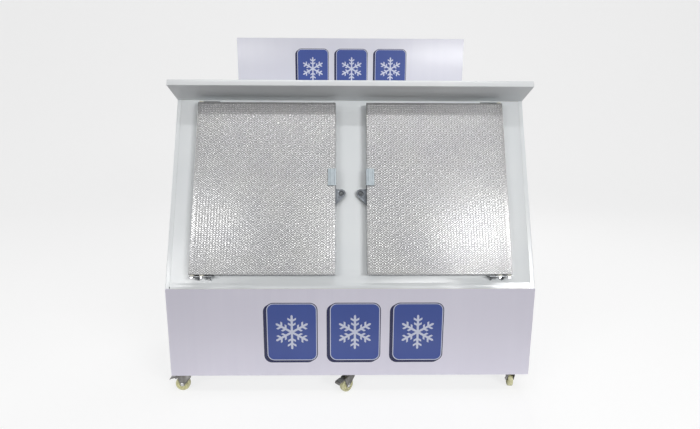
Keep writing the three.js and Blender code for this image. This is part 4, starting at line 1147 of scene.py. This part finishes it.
def stage():
    """A floor that curves up into a backdrop behind the freezer."""
    half_width, front, back, radius, top, steps = 16.0, -14.0, 4.5, 2.2, 9.0, 10
    turns = [math.pi / 2 * k / steps for k in range(1, steps + 1)]
    section = [(front, 0.0), (back, 0.0)]
    section += [(back + radius * math.sin(turn), radius * (1 - math.cos(turn))) for turn in turns]
    section.append((back + radius, top))
    bm = bmesh.new()
    rows = [[bm.verts.new((x, y, z)) for x in (-half_width, half_width)] for y, z in section]
    for low, high in zip(rows, rows[1:]):
        bm.faces.new((low[0], low[1], high[1], high[0]))
    mesh = mesh_of(bm, "studio_sweep", outward=False)
    mesh.materials.append(stage_material())
    mesh.shade_smooth()
    sweep = added("studio_sweep", mesh)
    return sweep


def world():
    sky = bpy.data.worlds.new("studio")
    bpy.context.scene.world = sky
    tree = emptied(sky)
    seen = tree.seen_rays()
    height = tree.parts(tree.add("ShaderNodeTexCoord").outputs["Generated"])[2]
    light = tree.mix(tree.between(height, 0.38, 0.95), (0.04, 0.04, 0.043, 1), (1.0, 1.0, 1.0, 1))
    colour = tree.mix(seen, light, (0.93, 0.93, 0.935, 1))
    strength = tree.between(seen, 0.0, 1.0, 0.50, 1.0)
    background = tree.out("ShaderNodeBackground", {"Color": colour, "Strength": strength})
    tree.add("ShaderNodeOutputWorld", {"Surface": background})


def lamp(name, place, aim, size, power, flagged=None):
    """A soft lamp. What is flagged gets none of its light."""
    light = bpy.data.lights.new(name, "AREA")
    light.shape = "RECTANGLE"
    light.size, light.size_y = size
    light.energy = power
    holder = added(name, light)
    holder.location = place
    holder.rotation_euler = (Vector(aim) - Vector(place)).to_track_quat("-Z", "Y").to_euler()
    holder.visible_camera = False
    if flagged:
        flag = bpy.data.collections.new(f"{name}_flag")
        flag.objects.link(flagged)
        flag.collection_objects[0].light_linking.link_state = "EXCLUDE"
        holder.light_linking.receiver_collection = flag


def camera():
    picture_width, focal_length = 700, 503.8  # pixels
    place, heading, dip, roll = (-0.0458, -2.856, 1.4644), -0.92, 12.02, 0.25  # metres and degrees
    eye = bpy.data.cameras.new("camera")
    eye.sensor_fit = "HORIZONTAL"
    eye.sensor_width = 36.0
    eye.lens = eye.sensor_width * focal_length / picture_width
    eye.clip_end = 60.0
    holder = added("camera", eye)
    holder.matrix_world = Matrix.Translation(place)
    for angle, axis in ((heading, "Z"), (90 - dip, "X"), (roll, "Z")):
        holder.matrix_world @= Matrix.Rotation(math.radians(angle), 4, axis)
    bpy.context.scene.camera = holder


# ---- The freezer, its stage and its light ----

camera()
casing()
casing_screws()
louvres()
ice_block_row("base", BASE_FACE, (-0.300, 0.020, 0.340), 0.345, (0.262, 0.318), 0.040, "base_paint")
ice_block_row("sign", SIGN_FACE, (-0.205, 0.005, 0.215), 1.668, (0.172, 0.208), 0.026, "sign_white")
for door_side, door_word in SIDES:
    door(door_side, door_word)
    lower_pivot(door_side, door_word)
    upper_pivot(door_side, door_word)
casters()
cabin()
machinery()
studio = stage()
world()
lamp("left_softbox", (-3.68, -5.66, 3.36), (-0.4, -0.2, 0.9), (2.5, 0.9), 92)
lamp("right_softbox", (3.34, -5.89, 3.15), (0.5, -0.2, 0.9), (2.5, 0.7), 188)
lamp("ceiling_tube", (0, -1.9, 4.6), (0, -0.5, 0.6), (5.0, 0.16), 37)
lamp("floor_card", (0, -0.9, 0.03), (0, -0.47, 0.25), (2.2, 0.2), 1.0, studio)
lamp("rear_softbox", (1.2, 4.0, 3.3), (0, 0.4, 0.8), (1.8, 0.8), 45)
lamp("left_wall_light", (-4.6, 0.7, 2.6), (-0.9, 0, 0.9), (1.8, 1.2), 34, studio)
lamp("right_wall_light", (4.6, 0.7, 2.6), (0.9, 0, 0.9), (1.8, 1.2), 34, studio)
lamp("far_window", (0.07, -3.68, 3.1), (0, -0.335, 0.9), (0.33, 0.18), 1.1)
bpy.context.scene.view_settings.view_transform = "Standard"
